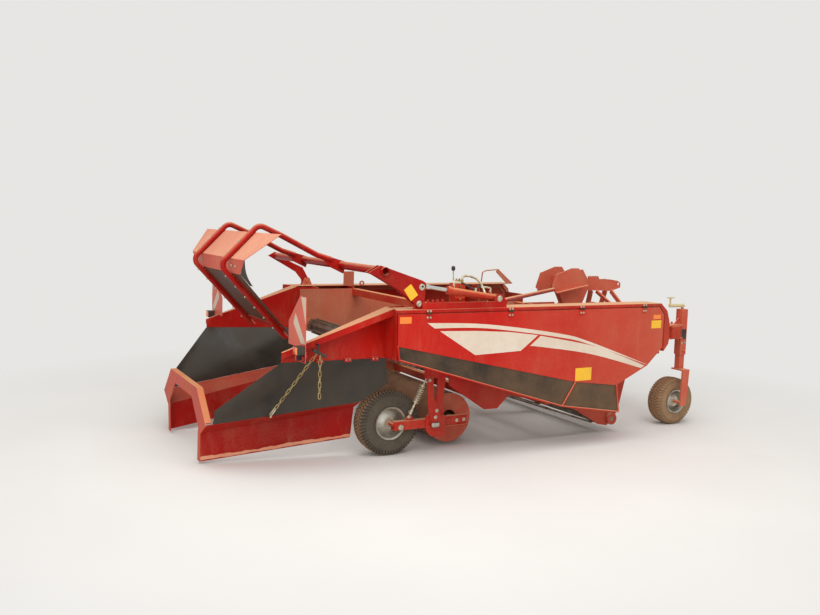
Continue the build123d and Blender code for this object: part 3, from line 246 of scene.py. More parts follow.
RED = rgb(188, 26, 18)
DEEP_RED = rgb(158, 16, 10)
FRONT_COAT = dict(colour=rgb(200, 56, 42), deep=rgb(186, 42, 30), dust=PINK_DUST, low=0.34, high=0.3,
                  flat=0.6, patch=0.2)
# In metres: height where the legs' paint ends, half width of the soil on the press roller
LEG_PAINT_TOP = 1.058
ROLLER_SOIL_HALF = 0.697
M = {
    "red": paint("red_enamel", RED, DEEP_RED, low=0.10, flat=0.85, patch=0.12, front=0.10, inner=0.36),
    "wall": paint("wall_enamel", RED, DEEP_RED, low=0.08, flat=0.85, patch=0.12),
    "door": paint("door_enamel", rgb(194, 30, 21), rgb(184, 25, 18), low=0.05, flat=0.8, patch=0.08,
                  front=0.22),
    "rail": paint("rail_enamel", rgb(170, 16, 12), rgb(138, 10, 7), low=0.02, flat=0.15, patch=0.12),
    "dusty_red": paint("dusty_enamel", rgb(190, 38, 26), rgb(170, 24, 16), dust=WARM_DUST, low=0.2, high=0.12,
                       flat=0.7, patch=0.22, front=0.06),
    "front_red": paint("front_enamel", **FRONT_COAT),
    "leg_red": paint("leg_enamel", bare_above=LEG_PAINT_TOP, **FRONT_COAT),
    "roller": paint("roller_enamel", rgb(196, 46, 30), rgb(180, 32, 22), dust=PINK_DUST, low=0.42, high=0.38,
                    soil_within=ROLLER_SOIL_HALF),
    # Hood: dust in a lighter colour than DUST, partly real dust and partly painted sunlight on its tops
    "hood": paint("hood_enamel", rgb(196, 44, 30), rgb(184, 34, 22), dust=rgb(226, 168, 138), low=0.24,
                  high=0.24, patch=0.2),
    "tube": paint("tube_enamel", rgb(170, 15, 12), rgb(150, 11, 9), flat=0.5, patch=0.1),
    "pale_dust": paint("dusty_ledge", rgb(214, 120, 92), rgb(206, 100, 76), dust=rgb(226, 190, 152), flat=0.8,
                       low=0.4, high=0.4, patch=0.3),
    "rubber": rubber("rubber_sheet", rgb(27, 25, 21), rgb(74, 64, 52), rough=0.36, gleam=0.45),
    "skirt": rubber("skirt_rubber", rgb(44, 37, 29), rgb(122, 95, 70), amount=(0.1, 0.7), scuff=0.12,
                    front=0.28),
    "panel": rubber("panel_rubber", rgb(60, 32, 20), rgb(102, 66, 46), amount=(0.1, 0.7)),
    "rear_tyre": tyre_rubber("rear_tyre_rubber", (REAR["x"] - X_MID) * MM, REAR["r"] * MM, REAR["r"] * MM,
                             rgb(58, 55, 52), rgb(108, 97, 82)),
    "front_tyre": tyre_rubber("front_tyre_rubber", (FRONT["x"] - X_MID) * MM, FRONT["r"] * MM,
                              FRONT["r"] * MM, rgb(126, 102, 78), rgb(176, 142, 108)),
    "zinc": bare_metal("zinc_plate", rgb(206, 204, 196), rgb(146, 136, 118), 9.0, 0.3, spangle=True),
    "steel": bare_metal("worn_steel", rgb(150, 143, 132), rgb(104, 84, 64), 14.0, 0.4),
    "chain": bare_metal("chain_steel", rgb(196, 176, 122), rgb(126, 100, 64), 30.0, 0.35, 0.75),
    "spring": bare_metal("spring_steel", rgb(222, 214, 190), rgb(160, 140, 106), 30.0, 0.3, 0.6),
    "bolt": bare_metal("bolt_zinc", rgb(208, 203, 184), rgb(150, 138, 114), 40.0, 0.3, 0.6),
    "brass": bare_metal("hub_brass", rgb(190, 162, 96), rgb(128, 104, 62), 26.0, 0.35, 0.8),
    "chrome": bare_metal("rod_chrome", rgb(226, 226, 224), rgb(180, 176, 168), 12.0, 0.14, 1.0),
    "iron": paint("gear_iron", rgb(120, 24, 18), rgb(90, 18, 14), low=0.2, high=0.15),
    "white": plain("white_film", rgb(226, 212, 194), rgb(202, 172, 148), 0.42, 4.0),
    "yellow": plain("yellow_plate", rgb(246, 190, 38), rgb(214, 160, 72), 0.4, 12.0),
    "orange": plain("orange_reflector", rgb(250, 132, 28), rgb(226, 132, 60), 0.3, 12.0, coat=0.5),
    "board_red": plain("board_red", rgb(204, 78, 54), rgb(192, 118, 92), 0.45, 10.0),
    "board_white": plain("board_white", rgb(206, 186, 164), rgb(190, 160, 138), 0.45, 10.0),
    "knuckle": bare_metal("hinge_steel", rgb(96, 84, 66), rgb(52, 42, 32), 60.0, 0.45),
    "red_lens": plain("red_lens", rgb(190, 28, 24), rgb(170, 60, 46), 0.2, 14.0, coat=0.8),
    "black": plain("black_plastic", rgb(36, 34, 32), rgb(96, 82, 66), 0.55, 14.0),
}
NODE_LOOK = {
    "side_frame": "red", "cross_beams": "dusty_red", "headstock": "front_red", "mast_plate": "front_red",
    "gearbox": "iron", "pto_stub": "steel", "discharge_wall": "wall", "curtain": "rubber",
    "former_rail": "rail", "former_hoop": "dusty_red", "lift_chains": "chain", "lamps": "black",
    "warning_boards": "board_red", "sieve_web": "steel", "web_rollers": "steel", "pickup_shaft": "steel",
    "front_leg": "leg_red", "rocker_arm": "red", "spring_rods": "spring", "press_roller": "roller",
    "hood_frame": "tube", "hood_sheet": "hood", "hood_panel": "panel", "cylinder_rail": "red",
    "cylinder_barrel": "dusty_red", "cylinder_rod": "chrome", "valve_block": "black", "door": "door",
    "door_skirt": "skirt", "front_tyre": "front_tyre", "rear_tyre": "rear_tyre", "front_rim": "zinc",
    "rear_rim": "zinc",
}
for node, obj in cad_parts.items():
    stem = node.replace("_right", "").replace("_left", "")
    obj.data.materials.clear()
    obj.data.materials.append(M[NODE_LOOK[stem]])


# Mesh making


def add_object(name, data):
    obj = bpy.data.objects.new(name, data)
    bpy.context.scene.collection.objects.link(obj)
    return obj


def piece(name, verts, faces, look, body, smooth=False):
    mesh = bpy.data.meshes.new(name)
    mesh.from_pydata([tuple(v) for v in verts], [], faces)
    mesh.materials.append(M[look])
    obj = add_object(name, mesh)
    if smooth:
        mesh.shade_smooth()
        mesh.set_sharp_from_angle(angle=math.radians(38))
    else:
        mesh.shade_flat()
    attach(obj, body)
    return obj


def turn_out(obj):
    """Make every face look outwards."""
    tidy = bmesh.new()
    tidy.from_mesh(obj.data)
    bmesh.ops.recalc_face_normals(tidy, faces=tidy.faces)
    tidy.to_mesh(obj.data)
    tidy.free()
    return obj


def turns(count):
    """Angles of a full turn in even steps."""
    return [2 * math.pi * k / count for k in range(count)]


class Shape:
    """Verts and faces of one piece, joined from tubes, turned solids and blocks given in millimetres."""

    def __init__(self):
        self.verts, self.faces = [], []

    def add(self, verts, faces):
        start = len(self.verts)
        self.verts += [at(*v) for v in verts]
        self.faces += [tuple(i + start for i in face) for face in faces]

    def rings(self, rings, closed=False):
        """Skin over rings of equal count, its ends capped."""
        n, count = len(rings), len(rings[0])
        faces = []
        for i in range(n if closed else n - 1):
            a, b = i * count, ((i + 1) % n) * count
            faces += [(a + k, a + (k + 1) % count, b + (k + 1) % count, b + k) for k in range(count)]
        if not closed:
            faces += [tuple(range(count - 1, -1, -1)), tuple(range((n - 1) * count, n * count))]
        self.add([v for ring in rings for v in ring], faces)

    def tube(self, points, r, facets=12, closed=False):
        """Round tube along the points."""
        line = [Vector(p) for p in points]
        n = len(line)
        rings, normal = [], None
        for i, p in enumerate(line):
            before = line[i - 1] if closed or i else p
            after = line[(i + 1) % n] if closed or i < n - 1 else p
            along = (after - before).normalized()
            normal = along.orthogonal() if normal is None else normal
            normal = (normal - along * normal.dot(along)).normalized()
            other = along.cross(normal)
            rings.append([p + (normal * math.cos(t) + other * math.sin(t)) * r for t in turns(facets)])
        self.rings(rings, closed)

    def turned(self, centre, axis, profile, facets=24):
        """Solid of revolution about an axis, from (radius, distance) pairs."""
        axis = Vector(axis).normalized()
        u = axis.orthogonal().normalized()
        v = axis.cross(u)
        self.rings([[Vector(centre) + axis * d + (u * math.cos(t) + v * math.sin(t)) * r
                     for t in turns(facets)] for r, d in profile])

    def bolt(self, centre, axis, r, high):
        """Washer, six-sided head with a chamfered top and the thread's end."""
        self.turned(centre, axis, [(r * 1.4, 0), (r * 1.4, 1.6), (r * 1.3, 2.0)], 20)
        self.turned(centre, axis, [(r, 1.8), (r, high - 1.5), (r * 0.82, high)], 6)
        self.turned(centre, axis, [(r * 0.55, high - 0.5), (r * 0.55, high + 2.5), (r * 0.4, high + 3.5)], 12)

    def pin(self, centre, axis, r, high):
        """Round pin head on a washer, with a sunk middle."""
        self.turned(centre, axis, [(r * 1.25, 0), (r * 1.25, 2), (r, 2.5), (r, high - 2), (r - 2, high),
                                   (r * 0.55, high), (r * 0.5, high - 2), (0.5, high - 2)])

    def box(self, low, high, edge):
        """Block between two corners, its edges rounded over."""
        form = bmesh.new()
        bmesh.ops.create_cube(form, size=1.0)
        size = [b - a for a, b in zip(low, high)]
        for v in form.verts:
            v.co = Vector([a + (c + 0.5) * d for a, c, d in zip(low, v.co, size)])
        bmesh.ops.bevel(form, geom=form.edges[:], offset=edge, segments=2, profile=0.5, affect="EDGES")
        form.verts.index_update()
        self.add([v.co for v in form.verts], [[v.index for v in f.verts] for f in form.faces])
        form.free()

    def plate(self, low, high):
        """Plate between two like outlines of points."""
        n = len(low)
        faces = [tuple(range(n)), tuple(range(2 * n - 1, n - 1, -1))]
        faces += [(i, i + n, (i + 1) % n + n, (i + 1) % n) for i in range(n)]
        self.add(list(low) + list(high), faces)

    def build(self, name, look, body, slot=None, smooth=True):
        return turn_out(piece(name, self.verts, self.faces, look, body, smooth))


def smooth_line(points, steps=10):
    """Catmull-Rom line through the points."""
    out = []
    padded = [points[0]] + list(points) + [points[-1]]
    for i in range(1, len(padded) - 2):
        p0, p1, p2, p3 = padded[i - 1:i + 3]
        for k in range(steps):
            t = k / steps
            out.append(tuple(0.5 * (2 * b + (c - a) * t + (2 * a - 5 * b + 4 * c - d) * t * t
                                    + (3 * b - a - 3 * c + d) * t * t * t)
                             for a, b, c, d in zip(p0, p1, p2, p3)))
    out.append(tuple(points[-1]))
    return out


def film(name, top, bottom, sign, body):
    """Thin white film on the door between two lines of (station, height), each drawn smooth."""
    upper, lower = smooth_line(top), smooth_line(bottom)
    n = min(len(upper), len(lower))
    verts, faces = [], []
    for i in range(n):
        for x, z in (upper[i * (len(upper) - 1) // (n - 1)], lower[i * (len(lower) - 1) // (n - 1)]):
            verts += [at(x, sign * COVER_Y, z), at(x, sign * (COVER_Y + FILM_T), z)]
    last = 4 * (n - 1)
    for a in range(0, last, 4):
        b = a + 4
        faces += [(a + 1, a + 3, b + 3, b + 1), (a, b, b + 2, a + 2), (a, a + 1, b + 1, b),
                  (a + 2, b + 2, b + 3, a + 3)]
    faces += [(0, 2, 3, 1), (last, last + 1, last + 3, last + 2)]
    obj = piece(name, verts, faces, "white", body)
    if sign > 0:
        obj.data.flip_normals()


def slab_outline(name, outline, y_out, sign, look, body, thick):
    """Flat plate on a side plane, from its outline of (station, height)."""
    shape = Shape()
    shape.plate(*[[(x, sign * y, z) for x, z in outline] for y in (y_out, y_out + thick)])
    shape.build(name, look, body, smooth=False)


def oblong(x0, x1, z0, z1):
    """Corners of an upright rectangle."""
    return [(x0, z0), (x1, z0), (x1, z1), (x0, z1)]


# Stripes and bare plates on the doors, (station, height) lines
UPPER_TOP = [(86, 1044), (590, 1019), (1256, 926), (1564, 847), (2159, 639)]
UPPER_LOW = [(144, 1004), (592, 989), (1258, 897), (1566, 826), (2157, 637)]
TRAPEZOID = [(189, 983), (498, 974), (784, 956), (1048, 922), (894, 809), (492, 796)]
LOWER_TOP = [(1074, 916), (1566, 822), (1860, 730), (2138, 628)]
LOWER_LOW = [(977, 841), (1072, 832), (1570, 752), (2100, 611)]
# Flat marks: name, outline, look, thickness
DOOR_PLATES = (
    ("stripe_panel_", TRAPEZOID, "white", FILM_T),
    ("bare_plate_", oblong(1424, 1583, 545, 646), "yellow", 0.8),
    ("front_plate_", oblong(2191, 2297, 935, 1000), "yellow", 0.8),
    ("reflector_rear_", oblong(-134, -43, 1045, 1091), "orange", 2.0),
    ("reflector_front_", oblong(2208, 2288, 1011, 1046), "orange", 2.0),
)


def door_marks():
    for side, sign in SIDES:
        body = "door_" + side
        film("stripe_upper_" + side, UPPER_TOP, UPPER_LOW, sign, body)
        film("stripe_lower_" + side, LOWER_TOP, LOWER_LOW, sign, body)
        for name, outline, look, thick in DOOR_PLATES:
            slab_outline(name + side, outline, COVER_Y, sign, look, body, thick)


door_marks()


# Tyres with a block tread

TREAD_DEPTH = 9.0
# Shares of a block's pitch where the block starts and ends and the groove starts and ends
BLOCK_CUTS = (0.0, 0.60, 0.66, 0.94)


def tyre_section(r, wide, rim):
    """Half section from the bead to the middle of the tread: (radius, offset, share of tread)."""
    half = wide / 2
    wall = r - rim
    return [
        (rim + 1, half * 0.80, 0), (rim + 10.5, half * 0.82, 0), (rim + 14, half * 0.90, 0),
        (rim + wall * 0.30, half * 0.985, 0), (rim + wall * 0.50, half * 1.0, 0),
        (rim + wall * 0.68, half * 0.975, 0), (rim + wall * 0.72, half * 0.97, 0.9),
        (rim + wall * 0.84, half * 0.92, 1), (r - 9, half * 0.84, 1), (r - 4, half * 0.72, 1),
        (r - 2, half * 0.50, 1), (r - 2, half * 0.46, 0.15), (r - 1, half * 0.40, 0.15),
        (r - 1, half * 0.36, 1), (r, half * 0.10, 1), (r, half * 0.06, 0.15), (r, 0, 0.15),
    ]


def tyre(end, side, sign, size):
    """Revolved section whose blocks rise from the groove depth in a zigzag round the tread."""
    half = tyre_section(size["r"], size["wide"], size["rim"])
    line = half + [(r, -o, t) for r, o, t in reversed(half[:-1])]
    verts = []
    for lug in range(size["lugs"]):
        for k, share in enumerate(BLOCK_CUTS):
            for r, o, tread in line:
                zigzag = 0.55 * math.cos(o / (size["wide"] / 2) * math.pi * 1.5)
                angle = (lug + share + zigzag * tread) / size["lugs"] * 2 * math.pi
                high = 1.0 if k < 2 else 0.0
                groove = 0.6 if 0 < tread < 0.5 else 0.0
                radius = r - TREAD_DEPTH * (1.0 - high) * tread - TREAD_DEPTH * groove
                shoulder = abs(o) > size["wide"] * 0.4 and tread > 0 and high == 0
                out = o - math.copysign(5.0, o) if shoulder else o
                verts.append(at(size["x"] + radius * math.sin(angle), sign * size["y"] + out,
                                size["r"] + radius * math.cos(angle)))
    rows, across = size["lugs"] * len(BLOCK_CUTS), len(line)
    faces = []
    for i in range(rows):
        a, b = i * across, (i + 1) % rows * across
        faces += [(a + k, b + k, b + k + 1, a + k + 1) for k in range(across - 1)]
        faces.append((a + across - 1, b + across - 1, b, a))
    obj = piece(f"{end}_tyre_tread_{side}", verts, faces, end + "_tyre", f"{end}_wheel_{side}")
    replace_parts(turn_out(obj), f"{end}_tyre_{side}")


# Profiles: (radius, distance)
HUB_RING = [(40, 51), (46, 51), (46, 55), (44, 57), (40, 57)]
# Black disc over each drain hole: painted shade of the hole's dark opening
HOLE_SHADE_DISC = [(6, 0), (6, 0.7), (4.5, 1.0)]
HOLE_COUNT = 8
# Dish of a rim: its lip's width, distance out, rise to the hub, the hub's radius, the holes' way in
LIP, DISH_OUT, DISH_RISE, HUB_R, HOLE_IN = 22, 22, 24, 50, 36


def rim_details(end, side, sign, size):
    """Plated ring round the hub, and black discs in the dish of a rim as painted shade of its small drain
    holes.
    """
    ring, holes = Shape(), Shape()
    centre = Vector((size["x"], sign * size["y"], size["r"]))
    out = Vector((0, sign, 0))
    ring.turned(centre, out, HUB_RING, 32)
    edge = size["rim"] + 0.5
    slope = DISH_RISE / (edge - LIP - HUB_R)
    for k in range(HOLE_COUNT):
        t = 2 * math.pi * (k + 0.5) / HOLE_COUNT
        radial = Vector((math.sin(t), 0, math.cos(t)))
        place = centre + radial * (edge - HOLE_IN) + out * (DISH_OUT + slope * (HOLE_IN - LIP) + 0.2)
        holes.turned(place, (out + radial * slope).normalized(), HOLE_SHADE_DISC, 14)
    ring.build(f"{end}_hub_ring_{side}", "bolt", f"{end}_wheel_{side}", "rim_steel")
    # Black discs on the dish: painted shade of the drain holes
    holes.build(f"{end}_rim_hole_shade_{side}", "black", f"{end}_wheel_{side}", "rim_steel")


for side, sign in SIDES:
    for end, size in (("rear", REAR), ("front", FRONT)):
        rim_details(end, side, sign, size)
        tyre(end, side, sign, size)


# Rubber sheets, 5 mm thick, with soft folds towards the inside. Where a sheet stands for a plain solid, it
# keeps to that solid's space.

SHEET_T = 5.0


def along(points, share):
    """Point at a share of the line's length."""
    line = [Vector(p) for p in points]
    steps = [(b - a).length for a, b in zip(line, line[1:])]
    left = share * sum(steps)
    for a, b, step in zip(line, line[1:], steps):
        if left <= step or b is line[-1]:
            return a.lerp(b, min(left / step, 1.0))
        left -= step


def grid_of(upper, lower, across, down):
    """Rows of points between an upper and a lower line."""
    return [[along(upper, i / across).lerp(along(lower, i / across), j / down) for i in range(across + 1)]
            for j in range(down + 1)]


def relaxed(rows, rounds):
    """Evens the creases out inside the edges."""
    for _ in range(rounds):
        new = [[p.copy() for p in row] for row in rows]
        for j in range(1, len(rows) - 1):
            for i in range(1, len(rows[0]) - 1):
                mean = (rows[j - 1][i] + rows[j + 1][i] + rows[j][i - 1] + rows[j][i + 1]) / 4
                new[j][i].y = mean.y
        rows = new
    return rows


def rubber_sheet(name, rows, inward, look, body, node, wave):
    """Closed sheet: outer face on the grid, inner face SHEET_T further in, folded by wave(i, j) in shares."""
    across, down = len(rows[0]), len(rows)
    inward = Vector(inward)
    outer = [p + inward * (0.3 + wave(i / (across - 1), j / (down - 1))) for j, row in enumerate(rows)
             for i, p in enumerate(row)]
    inner = [p + inward * (SHEET_T - 0.6) for p in outer]
    n = len(outer)
    faces = []
    for j in range(down - 1):
        for i in range(across - 1):
            a = j * across + i
            faces.append((a, a + 1, a + across + 1, a + across))
            faces.append((n + a + across, n + a + across + 1, n + a + 1, n + a))
    rim = ([(0, i) for i in range(across)] + [(j, across - 1) for j in range(1, down)]
           + [(down - 1, i) for i in range(across - 2, -1, -1)] + [(j, 0) for j in range(down - 2, 0, -1)])
    rim = [j * across + i for j, i in rim]
    faces += [(a, n + a, n + b, b) for a, b in zip(rim, rim[1:] + rim[:1])]
    obj = turn_out(piece(name, [at(*v) for v in outer + inner], faces, look, body, True))
    if node:
        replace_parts(obj, node)


def soft(share):
    """0 at both ends, 1 in the middle, level at its ends."""
    return math.sin(math.pi * min(max(share, 0.0), 1.0)) ** 0.7


# Curtain corners (station, out, height) and the flat fields that its solid has
CURTAIN = dict(A=(-115, -917, 765.7), B=(-73, -901, 575), C=(-280, -857.1, 440.7), D=(-1302, -681.6, 325),
               E=(-1296, -703, 423), F=(-923, -990, 783.7))
FIELDS = ("ABC", "ACD", "ADF", "DEF")


def field_y(x, z):
    """Out distance of the curtain's fields at a station and height."""
    best = None
    for field in FIELDS:
        (xa, ya, za), (xb, yb, zb), (xc, yc, zc) = [CURTAIN[k] for k in field]
        whole = (xb - xa) * (zc - za) - (xc - xa) * (zb - za)
        v = ((x - xa) * (zc - za) - (xc - xa) * (z - za)) / whole
        w = ((xb - xa) * (z - za) - (x - xa) * (zb - za)) / whole
        inside = min(v, w, 1 - v - w)
        if best is None or inside > best[0]:
            best = (inside, ya + v * (yb - ya) + w * (yc - ya))
    return best[1]


def curtain_fold(i, j):
    """Hanging folds that start at the top edge and fade at the ends."""
    fold = 0.5 + 0.5 * math.sin(17.0 * i + 2.2 * j + 0.8 * math.sin(5.0 * i))
    belly = soft(i) * soft(j)
    return 7.0 * belly * fold + 6.0 * belly * (0.5 + 0.5 * math.sin(6.1 * i - 1.3 * j))


def skirt_fold(i, j):
    """Short folds that deepen towards the free lower edge."""
    wave = 0.5 + 0.5 * math.sin(34.0 * i + 0.9 * math.sin(9.0 * i) + 1.5 * j)
    return wave * 4.5 * min(1.0, 0.25 + j) * soft(i)


def panel_fold(i, j):
    """Wide, shallow sag between the panel's bolted sides."""
    wave = 0.5 + 0.5 * math.sin(15.0 * i + 0.6 * j)
    return wave * 3.5 * soft(i) * (0.3 + 0.7 * j) * (1.0 if j < 1 else 0.9)


def flap_fold(i, j):
    """Curl of the flap's tip."""
    return 5.0 * j * j * math.sin(math.pi * i)


# Flap at each end of the hood's band: its hung edge and its blunt tip, right side
FLAP_EDGE = [(-1095, -602, 1351), (-1104, -726, 1455)]
FLAP_TIP = [(-1032, -630, 1273), (-1018, -640, 1268)]
FLAP_BOW = Vector((-16, 0, -6))
SKIRT_TOP = [(-145, 887), (1083, 614), (1431, 537), (1848, 485)]
SKIRT_LOW = [(-130, 790), (1307, 355), (1883, 264)]
SKIRT_Y = -1175.7
PANEL_TOP = [(-1097.4, -600, 1347), (-1097.4, 600, 1347)]
PANEL_LOW = [(-702.5, -470, 920.4), (-702.5, 470, 920.4)]
# Directions from the outer to the inner face
PANEL_INWARD = (0.733, 0, 0.679)
FLAP_INWARD = (0.781, 0.358, 0.511)


def flipped(rows, sign):
    """The right side's rows, or their mirror image for the left."""
    return [[Vector((p.x, p.y * -sign, p.z)) for p in row] for row in rows]


def sheets():
    top, low = [CURTAIN[k] for k in "EFA"], [CURTAIN[k] for k in "DCB"]
    curtain = grid_of(top, low, 96, 36)
    for row in curtain:
        for p in row:
            p.y = field_y(p.x, p.z)
    curtain = relaxed(curtain, 24)
    skirt = grid_of(*[[(x, SKIRT_Y, z) for x, z in line] for line in (SKIRT_TOP, SKIRT_LOW)], 150, 12)
    across, down = 16, 20
    flap = grid_of(FLAP_EDGE, FLAP_TIP, across, down)
    for j, row in enumerate(flap):
        for i, p in enumerate(row):
            p += FLAP_BOW * (math.sin(math.pi * j / down) * i / across)
    for side, sign in SIDES:
        rubber_sheet("curtain_sheet_" + side, flipped(curtain, sign), (0, -sign, 0), "rubber", "frame",
                     "curtain_" + side, curtain_fold)
        rubber_sheet("skirt_sheet_" + side, flipped(skirt, sign), (0, -sign, 0), "skirt", "door_" + side,
                     "door_skirt_" + side, skirt_fold)
        x, y, z = FLAP_INWARD
        rubber_sheet("hood_flap_sheet_" + side, flipped(flap, sign), (x, -sign * y, z), "rubber", "hood",
                     None, flap_fold)
    rubber_sheet("hood_panel_sheet", grid_of(PANEL_TOP, PANEL_LOW, 60, 24), PANEL_INWARD, "panel", "hood",
                 "hood_panel", panel_fold)


sheets()


# Lift chains, each with its strap, handle, slanted run with a shackle, and slack end

# Links: half length and half width at the wire's middle, wire radius, pitch
LINK_HALF, LINK_SIDE, LINK_WIRE, LINK_STEP = 21.75, 8.75, 3.2, 37.7
CHAIN_OUT = 1062
CHAIN_LINKS, SLACK_LINKS = 14, 8
SHACKLE_AT, SHACKLE_SCALE, SHACKLE_PIN_AT = 566, 1.62, 594
# Upper and lower end of the slanted run: station, out, height
RUN_TOP, RUN_LOW = (-694, CHAIN_OUT, 852.7), (-930, 777.5, 371.8)
# Profiles: (radius, distance)
SHACKLE_PIN = [(7, 0), (7, 7), (4, 7), (4, 36), (7, 36), (7, 44)]
HANDLE = [(8.5, 6), (8.5, 0), (11, 0), (11, 111), (8.5, 111), (8.5, 105)]


def link(shape, centre, ahead, side, scale=1.0):
    """Round wire link: two straights and two half circles."""
    across = ahead.cross(side)
    straight, r = (LINK_HALF - LINK_SIDE) * scale, LINK_SIDE * scale
    points = []
    for end in (1, -1):
        for k in range(7):
            t = math.pi * (k / 6 - 0.5)
            reach = straight + r * math.cos(t)
            points.append(centre + ahead * end * reach + across * end * r * math.sin(t))
    shape.tube(points, LINK_WIRE * scale, 8, closed=True)


def chains():
    shape, handle, shackle = Shape(), Shape(), Shape()
    for sign in (-1, 1):
        top, low = [Vector((x, sign * y, z)) for x, y, z in (RUN_TOP, RUN_LOW)]
        ahead = (low - top).normalized()
        flat = ahead.cross(Vector((0, 1, 0))).normalized()
        normals = (flat, ahead.cross(flat).normalized())
        for i in range(CHAIN_LINKS):
            link(shape, top + ahead * (LINK_HALF + LINK_WIRE + i * LINK_STEP), ahead, normals[i % 2])
        link(shackle, top + ahead * SHACKLE_AT, ahead, normals[0], SHACKLE_SCALE)
        across = normals[0].cross(ahead)
        shackle.turned(top + ahead * SHACKLE_PIN_AT - across * 22, across, SHACKLE_PIN, 12)
        down = Vector((0, 0, -1))
        for i in range(SLACK_LINKS):
            place = Vector((-674, sign * CHAIN_OUT, 842.7 - LINK_HALF - LINK_WIRE - i * LINK_STEP))
            link(shape, place, down, Vector(((1, 0, 0), (0, 1, 0))[i % 2]))
        handle.turned((-728, sign * CHAIN_OUT, 872.7), (98, 0, -52), HANDLE, 20)
        for near, foot in ((1023, 902.7), (1058, 846)):
            inner, outer = sorted((sign * near, sign * 1066))
            handle.box((-693, inner, foot), (-683, outer, 910.7), 1.5)
    handle.build("chain_handles", "black", "frame", "chain_steel")
    shackle.build("chain_shackles", "spring", "frame", "chain_steel")
    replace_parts(shape.build("chain_links", "chain", "frame", "chain_steel"), "lift_chains")


chains()


# Spring rods beside the rear wheels

SPRING_FOOT, SPRING_HEAD = (141, 850, 313.6), (276.5, 850, 581.9)
# Distances along the rod from its clevis
COIL_FROM, COIL_TO = 107, 223
SEAT_RINGS = ((96, 104), (226, 234))
COIL_R, COIL_WIRE, COIL_TURNS, TURN_STEPS = 20, 3.6, 7, 20
# Profiles, the rod's up to its plain shank: (radius, distance)
ROD = [(11, 0), (11, 40), (7, 46), (6.5, 46), (6.5, 62), (10, 62), (10, 70), (6.5, 70)]
ROD_NUT = [(6.6, 234), (12, 234), (12, 246), (6.6, 246)]
CLEVIS_PIN = [(9, 0), (9, 4), (7, 5)]


def springs():
    shape = Shape()
    for sign in (-1, 1):
        a, b = [Vector((x, sign * y, z)) for x, y, z in (SPRING_FOOT, SPRING_HEAD)]
        ahead = (b - a).normalized()
        shape.turned(a, ahead, ROD + [(6.5, (b - a).length)], 20)
        for low, high in SEAT_RINGS:
            shape.turned(a, ahead, [(6.6, low), (24, low), (24, high - 1), (23, high), (6.6, high)], 28)
        shape.turned(a, ahead, ROD_NUT, 6)
        u = ahead.orthogonal().normalized()
        v = ahead.cross(u)
        coil, steps = [], COIL_TURNS * TURN_STEPS
        for k in range(steps + 1):
            t = 2 * math.pi * k / TURN_STEPS
            coil.append(a + ahead * (COIL_FROM + (COIL_TO - COIL_FROM) * k / steps)
                        + (u * math.cos(t) + v * math.sin(t)) * COIL_R)
        shape.tube(coil, COIL_WIRE, 8)
        for end in (-1, 1):
            shape.turned(a + Vector((0, end * 10, 18)), (0, end, 0), CLEVIS_PIN, 16)
    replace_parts(shape.build("spring_coils", "spring", "frame", "spring_steel"), "spring_rods")


springs()


# Bolts, pins and small plates

HINGE_X = (93, 790, 1458, 2103)
HINGE_BOLT_OUT, HINGE_OUT, HINGE_Z = 1186, 1189, 1113
FRAME_ROW_Z, DOOR_ROW_Z = 1128.5, 1084
HINGE_BOLT = [(8, 0), (8, 2), (6.5, 5), (3, 6.5)]
# Heads on the frame's outer faces: station, out, height, radius, thickness
FRAME_BOLTS = ((283, 891, 572, 10, 9), (350, 891, 334, 10, 9), (341, 891, 284, 10, 9), (552, 854, 235, 10, 8),
               (615, 854, 237, 10, 8), (2848, 885, 745, 7, 6), (2882, 885, 745, 7, 6))
FRAME_PINS = ((56, 875, 226, 17, 9), (130, 855, 296, 10, 7))
LEG_PLATE = oblong(2838, 2892, 779, 868)
ARM_PLATE = [(-93, 1278), (-39, 1319), (19, 1241), (-36, 1200)]
# Stations of the curtain's clamping tabs; rear station and length of the wall, whose foot leans in
TAB_X = (-640, -420, -200)
WALL_FROM, WALL_LONG = -113, 810
# Bolt rows on the hood's bent tubes: start, run, step out to the tube's skin, axis, first place, pitch, count
TUBE_BOLTS = (
    ((-1185, 1410), (0.679, -0.733), (-14.9, -13.8), (-0.733, 0, -0.679), 90, 105, 6),
    ((-900, 1700), (-0.701, -0.713), (-14.5, 14.2), (-0.713, 0, 0.701), 80, 110, 3),
)


